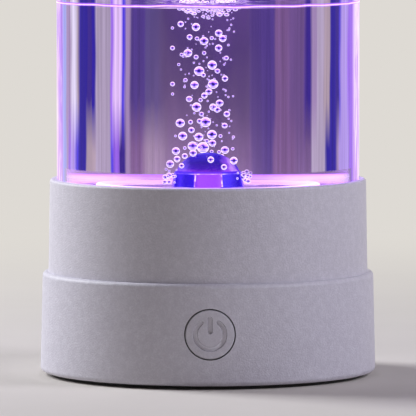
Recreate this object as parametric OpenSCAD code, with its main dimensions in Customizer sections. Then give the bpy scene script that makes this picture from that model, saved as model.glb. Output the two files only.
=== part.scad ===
// Compact bubble lamp: a clear water tank on a two-tier base that holds an air pump and a ring of lights.
// The pump blows air through a nozzle in the tank floor, and the bubbles rise in the lit water.
// Millimetres. +Z is up, the origin is on the table under the centre of the base, the button faces -Y.

/* [Tank] */
// Outside diameter of the clear tube
tube_d = 100; // [92:0.5:106]
// Wall of the clear tube
tube_wall = 3; // [2:0.25:4]
// Length of the clear tube
tube_l = 100; // [90:1:220]
// Thickness of the tank's clear floor
tank_floor_t = 4; // [3:0.25:6]
// Depth of the tank floor's top face below the rim of the base
floor_drop = 1.9; // [1:0.1:4]
// Height of the cement bead where the floor meets the tube
bead_h = 1.7; // [1.2:0.1:2.5]
// Width of that bead
bead_w = 2.2; // [1.2:0.1:2.4]
// Diameter of the raised ring on the tank floor
ring_d = 54; // [40:1:70]
// Height of the raised ring
ring_h = 0.8; // [0.5:0.1:1.2]
// Thickness of the flat seal under the tube
seal_t = 1; // [0.5:0.1:2]
// Height of the water above the rim of the base
water_h = 58; // [30:1:64]
// Radial play of the tube in the base
tube_fit = 0.15; // [0.1:0.05:0.4]

/* [Base] */
// Wall of the upper tier round the tube
rim_wall = 2.2; // [1.8:0.1:3.5]
// How much wider the upper tier is at its foot than at its rim, each side
collar_draft = 0.5; // [0:0.1:1.5]
// Width of the ledge between the tiers
ledge_w = 1.95; // [1.6:0.05:4]
// How much wider the lower tier is at its foot than at its ledge, each side
lower_draft = 0.7; // [0:0.1:1.5]
// Height of the upper tier
upper_h = 30.7; // [29:0.1:40]
// Height of the lower tier
lower_h = 33; // [31.5:0.1:45]
// Wall of the lower tier
wall = 2.5; // [2:0.1:3]
// Thickness of the deck on top of the lower tier, and of the flange that stands on it
deck_t = 2.5; // [2:0.1:3]
// Rounding of the bottom edge
foot_edge_r = 1.5; // [0.8:0.1:1.9]
// Rounding of the lower tier's top edge
ledge_edge_r = 1.3; // [0.6:0.1:1.5]
// Rounding of the rim
rim_edge_r = 0.9; // [0.4:0.1:1.5]
// Thickness of the bottom plate
plate_t = 2.5; // [2:0.1:3]
// Height of the rubber foot below the bottom edge
foot_proud = 1.2; // [0.6:0.1:2.5]
// Depth of the foot ring's groove in the bottom plate
foot_seat = 0.8; // [0.4:0.1:1.2]
// Width of the foot ring
foot_w = 2.5; // [1.5:0.1:2.8]
// Width of the lip of the plate outside the foot ring
foot_lip = 0.8; // [0.5:0.1:1]
// Width of a cooling slot in the bottom plate
slot_w = 2.4; // [1.5:0.1:3]
// Length of a cooling slot
slot_l = 24; // [12:1:30]
// Number of cooling slots
slot_count = 5; // [3:1:5]
// Distance between two cooling slots
slot_pitch = 5.5; // [4.5:0.1:5.8]

/* [Cap] */
// Thickness of the cap's top
cap_t = 3.2; // [2.4:0.1:5]
// Wall of the cap's skirt
skirt_wall = 2.05; // [1.6:0.05:3]
// Length of the skirt outside the tube
skirt_l = 8; // [5:0.5:12]
// Length of the plug inside the tube
plug_l = 7; // [6:0.5:10]
// Wall of the plug
plug_wall = 3.4; // [3:0.1:5]
// Rounding of the cap's top edge
cap_edge_r = 1.9; // [0.5:0.1:2]
// Thickness of the sealing ring
oring_w = 2; // [1.5:0.1:2.5]
// Depth of the dish in the cap's top
dish_depth = 0.6; // [0.3:0.1:1]
// Diameter of the dish
dish_d = 84; // [70:1:90]
// Diameter of a vent hole in the cap
vent_d = 3; // [2:0.5:4]
// Number of vent holes
vent_count = 6; // [3:1:8]
// Radius of the ring of vent holes
vent_r = 28; // [15:1:32]

/* [Nozzle] */
// Width of the eight-sided nozzle body across its flats, at the floor
nozzle_w = 17.6; // [16.4:0.1:22]
// Width across the flats at its top
nozzle_top_w = 16.2; // [15.2:0.1:16.4]
// Height of the nozzle body above the floor
nozzle_h = 5.2; // [4:0.1:8]
// Diameter of the domed cap
dome_d = 15.5; // [14:0.1:15.8]
// Height of the dome
dome_h = 6; // [4:0.1:7]
// Wall of the dome
dome_wall = 1.4; // [1:0.1:2]
// Diameter of an air hole
air_hole_d = 1; // [0.6:0.1:1.4]
// Number of air holes round the dome
air_hole_count = 8; // [4:1:10]
// Diameter of the dome's spigot
spigot_d = 11; // [9:0.1:12]
// Length of the dome's spigot
spigot_l = 2.4; // [1.5:0.1:2.8]
// Diameter of the stem through the floor
stem_d = 9.8; // [8:0.1:11]
// Length of the stem below the tank floor
stem_below = 5; // [4.2:0.1:6]
// Length of the hose tail under the stem
tail_l = 8; // [6:0.5:9]
// Thickness of the nozzle's gasket
gasket_t = 1; // [0.6:0.1:1.4]
// Diameter of the gasket
gasket_d = 15; // [13:0.1:15.2]
// Width of the stem's nut across its flats
stem_nut_w = 15; // [13:0.1:17]
// Thickness of the stem's nut
stem_nut_t = 3; // [2:0.1:4]

/* [Lights] */
// Thickness of the opal sheet over the lights
diffuser_t = 2; // [1:0.1:3]
// Width of the shelf that carries the tube and the opal sheet, inside the tube
shelf_lip = 3; // [2.6:0.1:3.5]
// Thickness of that shelf
shelf_t = 2.5; // [2:0.1:3]
// Height of the reflector tray
tray_h = 16.8; // [14:0.1:18]
// Wall of the reflector tray
tray_wall = 1.5; // [1:0.1:2]
// Gap between the reflector tray and the bosses round it
tray_gap = 0.5; // [0.3:0.1:2]
// Radius of the hole in the middle of the tray
tray_hole_r = 9; // [8.5:0.1:12]
// Gap between the ring of lights' board and the tray's wall
board_gap = 1.7; // [0.5:0.1:4]
// Radius of the hole in that board
led_board_hole_r = 16; // [12:0.5:18]
// Thickness of the circuit boards
board_t = 1.6; // [1:0.1:2]
// Number of lights
led_count = 12; // [8:1:16]
// Radius of the ring of lights
led_ring_r = 28; // [24:0.5:32]
// Side of a light
led_w = 5; // [3.5:0.1:5.5]
// Thickness of a light
led_t = 1.6; // [1:0.1:2]

/* [Button] */
// Diameter of the power button
button_d = 16; // [12:0.1:16.5]
// Height of the button's centre above the bottom edge of the base
button_rise = 16.8; // [15.5:0.1:17.5]
// Gap round the button
button_gap = 0.3; // [0.2:0.05:0.5]
// Travel of the button
button_travel = 0.8; // [0.4:0.1:1]
// Width of the button's flange behind the wall, outside its hole
flange_w = 1.2; // [0.8:0.1:1.2]
// Thickness of that flange
flange_t = 1.2; // [0.8:0.1:1.6]
// Length of the button's stem
stem_l = 1.5; // [1:0.1:2.5]
// Diameter of the button's stem
button_stem_d = 5; // [3:0.5:7]
// Side of the push switch
switch_w = 6; // [5.5:0.1:7]
// Depth of the push switch
switch_t = 3.5; // [3.3:0.1:4.5]
// Diameter of the switch's plunger
plunger_d = 3.4; // [2.5:0.1:4]
// How far the plunger stands out of the switch
plunger_proud = 1.3; // [1.1:0.1:2]
// Width of the control board
board_w = 30; // [28:0.5:32]
// Height of the control board
board_h = 20; // [19:0.5:20.5]

/* [Inlet] */
// Height of the power inlet's centre above the bottom edge of the base
inlet_rise = 16.8; // [13:0.1:18]
// Diameter of the inlet's socket
socket_d = 5.6; // [5:0.1:6]
// Depth of the socket
socket_depth = 9.5; // [8:0.5:12]
// Diameter of the pin in the socket
pin_d = 2; // [1.3:0.1:2.5]
// Diameter of the inlet's barrel
barrel_d = 7.8; // [7.5:0.1:9]
// Diameter of the inlet's flange
inlet_flange_d = 11.6; // [10.5:0.1:12.5]
// Thickness of that flange
inlet_flange_t = 1.5; // [1:0.1:1.8]
// Wall of the housing where the inlet is clamped
inlet_wall = 3; // [2:0.1:4]
// Length of the inlet's barrel behind its flange
barrel_l = 15.3; // [13:0.1:18]
// Width of the inlet's nut across its flats
inlet_nut_w = 11; // [10.5:0.1:13]
// Thickness of the inlet's nut
inlet_nut_t = 2.5; // [2:0.1:3.5]

/* [Pump] */
// Diameter of the pump's motor, and the side of its head
motor_d = 24; // [20:0.1:24.5]
// Length of the motor
motor_l = 30; // [26:0.5:30.5]
// Length of the pump's crankcase
crankcase_l = 14; // [12:0.5:15]
// Wall of the crankcase
crankcase_wall = 3; // [2:0.1:3.5]
// Length of the pump's valve cover
valve_cover_l = 6; // [4:0.5:7]
// Length of the pump's hose tail
pump_tail_l = 6; // [5:0.5:6.5]
// Thickness of the soft pad under the pump
pad_t = 2; // [1:0.1:2.4]
// Wall of the motor's can with its magnets
can_wall = 3.3; // [2:0.1:4]
// Thickness of the motor's end plates
motor_end_t = 3; // [2:0.1:4]
// Length of the motor's armature
armature_l = 20; // [14:0.5:20]
// Gap between the armature and the magnets
air_gap = 0.4; // [0.3:0.05:0.8]
// Diameter of the motor's shaft
shaft_d = 2; // [1.5:0.1:2.5]
// Diameter of the crank
crank_d = 9; // [7:0.1:10]
// Offset of the crank's pin from the shaft
crank_throw = 2.2; // [1:0.1:2.4]
// Thickness of the steel strap over the motor
strap_t = 1; // [0.6:0.1:1.4]
// Width of the strap
strap_w = 10; // [7:0.5:12]

/* [Air line] */
// Outside diameter of the air hose
hose_d = 6; // [5.5:0.1:6.4]
// Bore of the air hose
hose_bore = 4; // [3.8:0.1:4.4]
// Diameter of the check valve
valve_d = 11; // [9:0.1:13]
// Length of the check valve's body
valve_l = 12; // [10:0.5:14]
// Diameter of the flat leads
lead_d = 2.4; // [1.6:0.1:2.6]

/* [Fixings] */
// Diameter of the large screws
screw_d = 2.5; // [2:0.1:2.9]
// Diameter of their heads
screw_head_d = 4.8; // [4:0.1:5]
// Height of their heads
screw_head_h = 1.5; // [1:0.1:1.6]
// Length of their shanks
screw_l = 9; // [7:0.5:10]
// Diameter of the posts and bosses that the large screws go into
post_d = 7; // [6:0.1:7.4]
// Diameter of the small screws
small_screw_d = 1.6; // [1.2:0.1:2]
// Diameter of the small screws' heads
small_head_d = 3.6; // [3:0.1:4.2]
// Diameter of the bosses that the small screws go into
small_boss_d = 5; // [4.4:0.1:5.4]

/* [Hidden] */
$fn = 96;

eps = 0.02;
glue_gap = 0.05;                      // thickness of a cement line or a thread's play
lid_gap = 0.1;                        // play between pieces that part or slide
seat_gap = 0.1;
run_fit = 0.05;                       // radial play of a shaft or plunger in its bore
plate_fit = 0.2;                      // play of the bottom plate in the housing
spigot_fit = 0.2;                     // play of the collar's spigot in the deck
oring_fit = 0.15;                     // play of the sealing ring in the tube
skirt_fit = 0.3;                      // play of the cap's skirt outside the tube
screw_clear = 0.2;                    // radial play of a screw's head and shank in a plain hole

// Radii, from the tube outwards
tube_r = tube_d / 2;
tube_in_r = tube_r - tube_wall;
bore_r = tube_r + tube_fit;
rim_r = bore_r + rim_wall;
collar_r = rim_r + collar_draft;
ledge_r = collar_r + ledge_w;
base_r = ledge_r + lower_draft;
housing_in_r = base_r - wall;
housing_in_top_r = ledge_r - wall;
plate_r = housing_in_r - plate_fit;
foot_r = plate_r - foot_lip;
shelf_r = tube_in_r - shelf_lip;
deck_bore_r = shelf_r;
spigot_r = deck_bore_r - spigot_fit;
collar_spigot_wall = 1.8;
floor_r = tube_in_r - glue_gap;

// Heights, from the table upwards
edge_z = foot_proud;
plate_top_z = edge_z + plate_t;
ledge_z = edge_z + lower_h;
deck_z = ledge_z - deck_t;
rim_z = ledge_z + upper_h;
floor_z = rim_z - floor_drop;
floor_under_z = floor_z - tank_floor_t;
shelf_z = floor_under_z - seat_gap - diffuser_t;
shelf_under_z = shelf_z - shelf_t;
tube_z = shelf_z + seal_t;
tube_top_z = tube_z + tube_l;
water_z = rim_z + water_h;
cap_under_z = tube_top_z + lid_gap;
cap_top_z = cap_under_z + cap_t;
tray_top_z = shelf_z - seat_gap;
tray_z = tray_top_z - tray_h;
led_board_z = tray_z + tray_wall;
nozzle_top_z = floor_z + nozzle_h;
stem_end_z = floor_under_z - stem_below;
tail_end_z = stem_end_z - tail_l;

// The deck screws and posts stand on one circle each
deck_screw_r = (shelf_r + bore_r) / 2 + seat_gap;
boss_bury = 0.5;                      // how far the bosses run into the collar's wall
boss_r = bore_r - deck_screw_r + boss_bury;
tray_r = deck_screw_r - boss_r - tray_gap;
led_board_r = tray_r - tray_wall - board_gap;
post_r = min(foot_r - foot_w - 0.1 - screw_head_d / 2 - screw_clear, housing_in_top_r - post_d / 2);
collar_screw_angles = [0, 90, 180, 270];
post_angles = [45, 135, 225, 315];
boss_h = 7;
rib_t = 1.6;
tray_boss_h = 6;
tray_ear_t = 1.5;
tray_ear_w = 7;
tray_screw_l = 5;

// The button, switch and control board follow each other inwards along Y
button_z = edge_z + button_rise;
button_hole_r = button_d / 2 + button_gap;
flange_r = button_hole_r + flange_w;
flange_y = -(sqrt(pow(housing_in_top_r, 2) - pow(flange_r, 2)) - skirt_fit);
flange_back_y = flange_y + flange_t;
button_stem_y = flange_back_y + stem_l;
plunger_y = button_stem_y + lid_gap;
switch_y = plunger_y + plunger_proud;
board_y = switch_y + switch_t;
board_back_y = board_y + board_t;
plunger_in = 1.7;                     // length of the plunger inside the switch
board_boss_x = 12;
board_boss_rise = 6.5;
board_screw_bite = 5;                 // length of a board screw in its boss
board_screw_head_h = 1.3;
connector_size = [6, 4, 5];
connector_x = 10;
connector_low = 5;
connector_high = 5;

// The power inlet sits in a flat pocket at the back
inlet_z = edge_z + inlet_rise;
inlet_out_r = base_r - lower_draft * inlet_rise / lower_h;
pocket_d = inlet_flange_d + 0.4;
pocket_y = sqrt(pow(inlet_out_r, 2) - pow(pocket_d / 2, 2)) - inlet_flange_t;
inlet_pad_y = pocket_y - inlet_wall;
inlet_pad_w = 16;
lug_l = 4;
lug_w = 2;
lug_t = 0.6;
pin_short = 1;                        // how far the pin ends inside the socket's mouth

// The pump lies along X behind the middle
pump_y = 14;
pump_z = plate_top_z + pad_t + motor_d / 2;
motor_x = -36;
crankcase_x = motor_x + motor_l;
valve_cover_x = crankcase_x + crankcase_l;
pump_tail_x = valve_cover_x + valve_cover_l;
motor_in_r = motor_d / 2 - can_wall;
armature_r = motor_in_r - air_gap;
end_boss_l = 2;
shaft_x = motor_x + seat_gap;
strap_x = motor_x + motor_l / 2;
strap_foot = 8;
strap_boss_h = 3;
strap_screw_y = motor_d / 2 + strap_t + strap_foot / 2;
crank_t = 5;
terminal_l = 1.5;
terminal_w = 4;
crank_pin_l = 2;
pole_slot_w = 2.4;
pole_core_r = 0.4 * armature_r;
crankcase_cut = 5;                    // side of the square bar that bevels the crankcase's long edges
tail_d = hose_bore - 0.3;             // hose tails pass inside the many-sided bores of the hoses
tail_bore_d = tail_d - 1.4;

// The check valve lies along X in front of the pump
valve_y = -24;
valve_x = 1;
valve_tail_l = 6;

// Routes of the hoses and leads
upper_hose_route = [[valve_x - valve_l / 2 - 1, valve_y, pump_z], [-13, -24, 17.7], [-18, -23.7, 18],
                    [-23.5, -22.3, 19], [-28.5, -19, 20.8], [-31.5, -14.3, 23], [-32, -9, 25.3],
                    [-29.8, -4.4, 27.6], [-25.5, -1.5, 29.6], [-20, -0.3, 31.1], [-14, 0, 32.3],
                    [-8.8, 0, 34.2], [-4.5, 0, 37.2], [-1.5, 0, 40.9], [0, 0, tail_end_z - 1.2],
                    [0, 0, tail_end_z], [0, 0, stem_end_z - 0.5]];
lower_hose_route = [[pump_tail_x + 0.5, pump_y, pump_z], [21, 14, 17.7], [28, 13, 17.7], [35, 9, 17.7],
                    [39.5, 2.5, 17.7], [41, -5, 17.7], [39.5, -12.5, 17.7], [35, -19, 17.7],
                    [28, -23, 17.7], [20, -24, 17.7], [valve_x + valve_l / 2 + 1, valve_y, pump_z]];
led_lead_start = [-20, -26];
lead_end_y = board_back_y + connector_size[1];
led_lead_route = [[led_lead_start[0], led_lead_start[1], led_board_z], [-20, -26, 38], [-19, -26.5, 34],
                  [-15, -27.5, 29], [-8, -29, 25], [-2, -31, 23.5],
                  [0, -34, button_z + connector_high], [0, lead_end_y, button_z + connector_high]];
pump_lead_route = [[motor_x - motor_end_t - terminal_l, pump_y, pump_z],
                   [motor_x - motor_end_t - terminal_l - 1.5, pump_y, pump_z],
                   [-43.9, 12, 16.6], [-45, 6, 14.5],
                   [-44, -4, 10], [-40, -14, 7], [-32, -23, 6.5], [-22, -29, 8.5], [-13, -32, 12],
                   [-connector_x, -34, button_z - connector_low],
                   [-connector_x, lead_end_y, button_z - connector_low]];
inlet_lead_route = [[0, pocket_y - barrel_l - lug_l, inlet_z],
                    [0, pocket_y - barrel_l - lug_l - 1.2, inlet_z],
                    [4.5, 31, 17.2], [13, 31.8, 15.6], [24, 30.5, 12], [34, 22, 8], [39, 10, 6.5],
                    [39, -4, 6.5], [34, -18, 6.5], [25, -27.5, 8.5], [16, -31.5, 13], [11, -33.4, 18.5],
                    [connector_x, -34.2, button_z + connector_high],
                    [connector_x, lead_end_y, button_z + connector_high]];

shell_white = [0.93, 0.92, 0.94];
black = [0.08, 0.08, 0.09];
clear = [0.8, 0.82, 0.9, 0.35];
nozzle_blue = [0.1, 0.02, 0.75];
board_green = [0.05, 0.35, 0.2];
steel = [0.7, 0.71, 0.73];
silicone = [0.85, 0.87, 0.9, 0.8];

// ---------- shared shapes ----------

function unit(v) = v / norm(v);

function headings(p) =
    [for (i = [0 : len(p) - 1]) unit(p[min(i + 1, len(p) - 1)] - p[max(i - 1, 0)])];

function carried(t, n, i = 0) =
    i == len(t) ? [] : let (m = unit(n - (n * t[i]) * t[i])) concat([m], carried(t, m, i + 1));

// A round tube along a route, closed at both ends
module swept(route, d, sides) {
    t = headings(route);
    first = abs(t[0][2]) < 0.9 ? [0, 0, 1] : [1, 0, 0];
    n = carried(t, first);
    rings = [for (i = [0 : len(route) - 1], k = [0 : sides - 1])
             let (a = 360 * k / sides) route[i] + d / 2 * (cos(a) * n[i] + sin(a) * cross(t[i], n[i]))];
    last = (len(route) - 1) * sides;
    sides_faces = [for (i = [0 : len(route) - 2], k = [0 : sides - 1], half = [0, 1])
                   let (a = i * sides + k, b = i * sides + (k + 1) % sides)
                   half == 0 ? [a, a + sides, b] : [b, a + sides, b + sides]];
    ends = [[for (k = [0 : sides - 1]) k], [for (k = [sides - 1 : -1 : 0]) last + k]];
    polyhedron(points = rings, faces = concat(sides_faces, ends), convexity = 8);
}

// A hose: a swept tube with its bore
module hose(route) {
    count = len(route);
    first = unit(route[0] - route[1]);
    final = unit(route[count - 1] - route[count - 2]);
    difference() {
        swept(route, hose_d, 10);
        swept(concat([route[0] + first], route, [route[count - 1] + final]), hose_bore, 10);
    }
}

// A quarter round that fills an outline's outer corner, from its centre towards the corner
module corner(x, z, r, up) {
    translate([x, z]) intersection() {
        circle(r = r, $fn = 64);
        translate([0, up ? 0 : -r]) square(r);
    }
}

// Children on a circle, one at each of the angles
module around(angles, r) {
    for (a = angles) rotate(a) translate([r, 0, 0]) children();
}

// A tube standing on z = 0
module pipe(r_out, r_in, h) {
    difference() {
        cylinder(r = r_out, h = h);
        translate([0, 0, -eps]) cylinder(r = r_in, h = h + 2 * eps);
    }
}

// A screw with its head below z = 0 and its shank above, driven upwards
module screw(d, head_d, head_h, l) {
    difference() {
        union() {
            translate([0, 0, -head_h]) cylinder(d = head_d, h = head_h, $fn = 32);
            cylinder(d = d - 2 * glue_gap, h = l, $fn = 32);
        }
        for (a = [0, 90])
            rotate(a) translate([0, 0, -head_h]) cube([head_d * 0.6, head_d * 0.16, head_h], center = true);
    }
}

// A six-sided nut standing on z = 0
module hex_nut(across, bore_d, t) {
    difference() {
        cylinder(d = across / cos(30), h = t, $fn = 6);
        translate([0, 0, -eps]) cylinder(d = bore_d, h = t + 2 * eps);
    }
}

// A body of revolution whose axis lies along +X from the given point
module along_x(x, y, z) {
    translate([x, y, z]) rotate([0, 90, 0]) children();
}

// The same along +Y
module along_y(x, y, z) {
    translate([x, y, z]) rotate([-90, 0, 0]) children();
}

// ---------- base ----------

module foot_ring() {
    color(black) pipe(foot_r, foot_r - foot_w, foot_proud + foot_seat);
}

module bottom_plate() {
    color(black)
    difference() {
        union() {
            translate([0, 0, edge_z]) cylinder(r = plate_r, h = plate_t);
            for (side = [-1, 1])
                translate([strap_x, pump_y + side * strap_screw_y, plate_top_z - eps])
                    cylinder(d = post_d, h = strap_boss_h + eps, $fn = 48);
        }
        translate([0, 0, edge_z - eps]) pipe(foot_r + seat_gap, foot_r - foot_w - seat_gap, foot_seat + eps);
        around(post_angles, post_r) translate([0, 0, edge_z - eps]) {
            cylinder(d = screw_head_d + 2 * screw_clear, h = screw_head_h + eps, $fn = 48);
            cylinder(d = screw_d + 2 * screw_clear, h = plate_t + 2 * eps, $fn = 48);
        }
        for (side = [-1, 1])
            translate([strap_x, pump_y + side * strap_screw_y, plate_top_z - 1])
                cylinder(d = screw_d, h = strap_boss_h + 2, $fn = 48);
        for (i = [0 : slot_count - 1])
            translate([0, -8 - i * slot_pitch, edge_z - eps]) linear_extrude(plate_t + 2 * eps) {
                square([slot_l - slot_w, slot_w], center = true);
                for (side = [-1, 1]) translate([side * (slot_l - slot_w) / 2, 0]) circle(d = slot_w, $fn = 32);
            }
    }
}

module bottom_screws() {
    color(steel) around(post_angles, post_r) translate([0, 0, edge_z + screw_head_h])
        screw(screw_d, screw_head_d, screw_head_h - eps, screw_l);
}

// The lower tier's outline as a solid of revolution, filled to the axis
module lower_form() {
    rotate_extrude($fn = 180) {
        polygon([[0, edge_z], [base_r - foot_edge_r, edge_z], [base_r, edge_z + foot_edge_r],
                 [ledge_r, ledge_z - ledge_edge_r], [ledge_r - ledge_edge_r, ledge_z], [0, ledge_z]]);
        corner(base_r - foot_edge_r, edge_z + foot_edge_r, foot_edge_r, false);
        corner(ledge_r - ledge_edge_r, ledge_z - ledge_edge_r, ledge_edge_r, true);
    }
}

module lower_housing() {
    color(shell_white)
    difference() {
        union() {
            difference() {
                lower_form();
                rotate_extrude($fn = 180)
                    polygon([[0, edge_z - 1], [housing_in_r, edge_z - 1], [housing_in_r, edge_z],
                             [housing_in_top_r, deck_z], [deck_bore_r, deck_z],
                             [deck_bore_r, ledge_z + 1], [0, ledge_z + 1]]);
            }
            around(post_angles, post_r) translate([0, 0, plate_top_z]) {
                cylinder(d = post_d, h = deck_z - plate_top_z + eps, $fn = 48);
                translate([0, -rib_t / 2, 0])
                    cube([housing_in_top_r + wall / 2 - post_r, rib_t, deck_z - plate_top_z + eps]);
            }
            for (side = [-1, 1])
                along_y(side * board_boss_x, -housing_in_r + wall / 4, button_z - side * board_boss_rise)
                    cylinder(d = small_boss_d, h = board_y + housing_in_r - wall / 4, $fn = 48);
            translate([-inlet_pad_w / 2, inlet_pad_y, inlet_z - inlet_pad_w / 2])
                cube([inlet_pad_w, inlet_wall + eps, inlet_pad_w]);
        }
        around(post_angles, post_r) translate([0, 0, plate_top_z - eps])
            cylinder(d = screw_d, h = screw_l, $fn = 48);
        around(collar_screw_angles, deck_screw_r) translate([0, 0, deck_z - eps])
            cylinder(d = screw_d + 2 * screw_clear, h = deck_t + 2 * eps, $fn = 48);
        along_y(0, -base_r - 1, button_z) cylinder(r = button_hole_r, h = wall + 5);
        for (side = [-1, 1])
            along_y(side * board_boss_x, board_y - board_screw_bite - 1, button_z - side * board_boss_rise)
                cylinder(d = small_screw_d, h = board_screw_bite + 1 + eps, $fn = 48);
        along_y(0, pocket_y, inlet_z) cylinder(d = pocket_d, h = inlet_flange_t + 3);
        along_y(0, inlet_pad_y - 1, inlet_z) cylinder(d = barrel_d + 2 * seat_gap, h = inlet_wall + 2);
    }
}

module collar_screws() {
    color(steel) around(collar_screw_angles, deck_screw_r) translate([0, 0, deck_z])
        screw(screw_d, screw_head_d, screw_head_h, screw_l);
}

module upper_collar() {
    color(shell_white)
    difference() {
        union() {
            rotate_extrude($fn = 180) {
                polygon([[spigot_r - collar_spigot_wall, deck_z], [spigot_r, deck_z], [spigot_r, ledge_z],
                         [collar_r, ledge_z], [rim_r, rim_z - rim_edge_r], [rim_r - rim_edge_r, rim_z],
                         [bore_r, rim_z], [bore_r, shelf_z], [shelf_r, shelf_z],
                         [shelf_r, shelf_under_z], [bore_r, shelf_under_z],
                         [bore_r, ledge_z + deck_t], [spigot_r - collar_spigot_wall, ledge_z + deck_t]]);
                corner(rim_r - rim_edge_r, rim_z - rim_edge_r, rim_edge_r, true);
            }
            around(collar_screw_angles, deck_screw_r) translate([0, 0, ledge_z + deck_t - eps])
                cylinder(r = boss_r, h = boss_h + eps, $fn = 48);
            around(post_angles, deck_screw_r) translate([0, 0, shelf_under_z - tray_boss_h])
                cylinder(r = boss_r, h = tray_boss_h + eps, $fn = 48);
        }
        around(collar_screw_angles, deck_screw_r) translate([0, 0, ledge_z - eps])
            cylinder(d = screw_d, h = boss_h + deck_t - 1, $fn = 48);
        around(post_angles, deck_screw_r) translate([0, 0, shelf_under_z - tray_boss_h - eps])
            cylinder(d = small_screw_d, h = tray_boss_h, $fn = 48);
    }
}

// ---------- tank ----------

module tank_seal() {
    color(silicone) translate([0, 0, shelf_z]) pipe(tube_r, tube_in_r, seal_t);
}

module tank_tube() {
    color(clear) translate([0, 0, tube_z]) rotate_extrude($fn = 180)
        translate([tube_in_r, 0]) square([tube_wall, tube_l]);
}

// The bead and the raised ring that stand on the floor, grown by a gap
module floor_relief(gap) {
    rotate_extrude($fn = 180) {
        translate([floor_r - bead_w - gap, floor_z - eps]) square([bead_w + gap, bead_h - bead_w / 2 + eps]);
        translate([floor_r - bead_w / 2, floor_z + bead_h - bead_w / 2]) circle(r = bead_w / 2 + gap, $fn = 48);
        intersection() {
            translate([ring_d / 2, floor_z]) circle(r = ring_h + gap, $fn = 48);
            translate([ring_d / 2 - 2 * ring_h, floor_z - eps]) square([4 * ring_h, 2 * ring_h]);
        }
    }
}

module tank_floor() {
    color(clear)
    difference() {
        union() {
            translate([0, 0, floor_under_z]) cylinder(r = floor_r, h = tank_floor_t, $fn = 180);
            floor_relief(0);
        }
        translate([0, 0, floor_under_z - 1]) cylinder(d = stem_d + 2 * screw_clear, h = tank_floor_t + 2);
    }
}

module water() {
    color([0.5, 0.45, 0.9, 0.3])
    difference() {
        translate([0, 0, floor_z + glue_gap])
            cylinder(r = tube_in_r - glue_gap, h = water_z - floor_z - glue_gap, $fn = 180);
        floor_relief(glue_gap);
        nozzle_form(glue_gap);
        dome_form(glue_gap);
    }
}

// ---------- nozzle ----------

// The eight-sided body above the floor, grown by a gap
module nozzle_form(gap) {
    translate([0, 0, floor_z]) rotate(22.5)
        cylinder(r1 = (nozzle_w / 2 + gap) / cos(22.5), r2 = (nozzle_top_w / 2 + gap) / cos(22.5),
                 h = nozzle_h + gap, $fn = 8);
}

// The dome as a cap of a ball, grown by a gap
module dome_form(gap) {
    ball_r = (pow(dome_d / 2, 2) + pow(dome_h, 2)) / (2 * dome_h);
    intersection() {
        translate([0, 0, nozzle_top_z + dome_h - ball_r]) sphere(r = ball_r + gap);
        translate([0, 0, nozzle_top_z]) cylinder(d = dome_d + 2 * gap, h = dome_h + 1);
    }
}

module nozzle_body() {
    color(nozzle_blue)
    difference() {
        union() {
            nozzle_form(0);
            translate([0, 0, stem_end_z]) cylinder(d = stem_d, h = floor_z - stem_end_z + 1);
            translate([0, 0, tail_end_z]) cylinder(d = tail_d, h = tail_l + 1, $fn = 48);
        }
        difference() {
            translate([0, 0, floor_z - eps]) cylinder(d = gasket_d + 2 * seat_gap, h = gasket_t + eps);
            translate([0, 0, floor_z - 1]) cylinder(d = stem_d, h = gasket_t + 2);
        }
        translate([0, 0, nozzle_top_z - spigot_l - seat_gap])
            cylinder(d = spigot_d + 2 * glue_gap, h = spigot_l + 1);
        translate([0, 0, tail_end_z - 1]) cylinder(d = tail_bore_d, h = nozzle_top_z - tail_end_z, $fn = 48);
    }
}

module nozzle_cap() {
    inner_r = dome_d / 2 - dome_wall;
    inner_h = dome_h - dome_wall;
    hollow_r = (pow(inner_r, 2) + pow(inner_h, 2)) / (2 * inner_h);
    color(nozzle_blue)
    difference() {
        union() {
            dome_form(0);
            translate([0, 0, nozzle_top_z - spigot_l]) cylinder(d = spigot_d, h = spigot_l + dome_wall);
        }
        intersection() {
            translate([0, 0, nozzle_top_z + inner_h - hollow_r]) sphere(r = hollow_r);
            translate([0, 0, nozzle_top_z]) cylinder(r = spigot_d / 2 - dome_wall, h = dome_h);
        }
        translate([0, 0, nozzle_top_z - spigot_l - 1])
            cylinder(r = spigot_d / 2 - dome_wall, h = spigot_l + 1 + eps);
        translate([0, 0, nozzle_top_z]) {
            cylinder(d = air_hole_d, h = dome_h + 1, $fn = 24);
            for (i = [0 : air_hole_count - 1])
                rotate([0, 40, 360 * i / air_hole_count]) cylinder(d = air_hole_d, h = dome_d, $fn = 24);
        }
    }
}

module nozzle_gasket() {
    color(black) translate([0, 0, floor_z]) pipe(gasket_d / 2, stem_d / 2 + glue_gap, gasket_t - glue_gap);
}

module nozzle_nut() {
    color(nozzle_blue) translate([0, 0, floor_under_z - stem_nut_t])
        hex_nut(stem_nut_w, stem_d + 2 * glue_gap, stem_nut_t);
}

// ---------- cap ----------

oring_r = tube_in_r - oring_fit - oring_w / 2;
plug_r = tube_in_r - skirt_fit;
cap_r = tube_r + skirt_fit + skirt_wall;
oring_z = tube_top_z - plug_l / 2;
plug_seat = 0.8;                      // depth of the plug's seat in the cap

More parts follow.
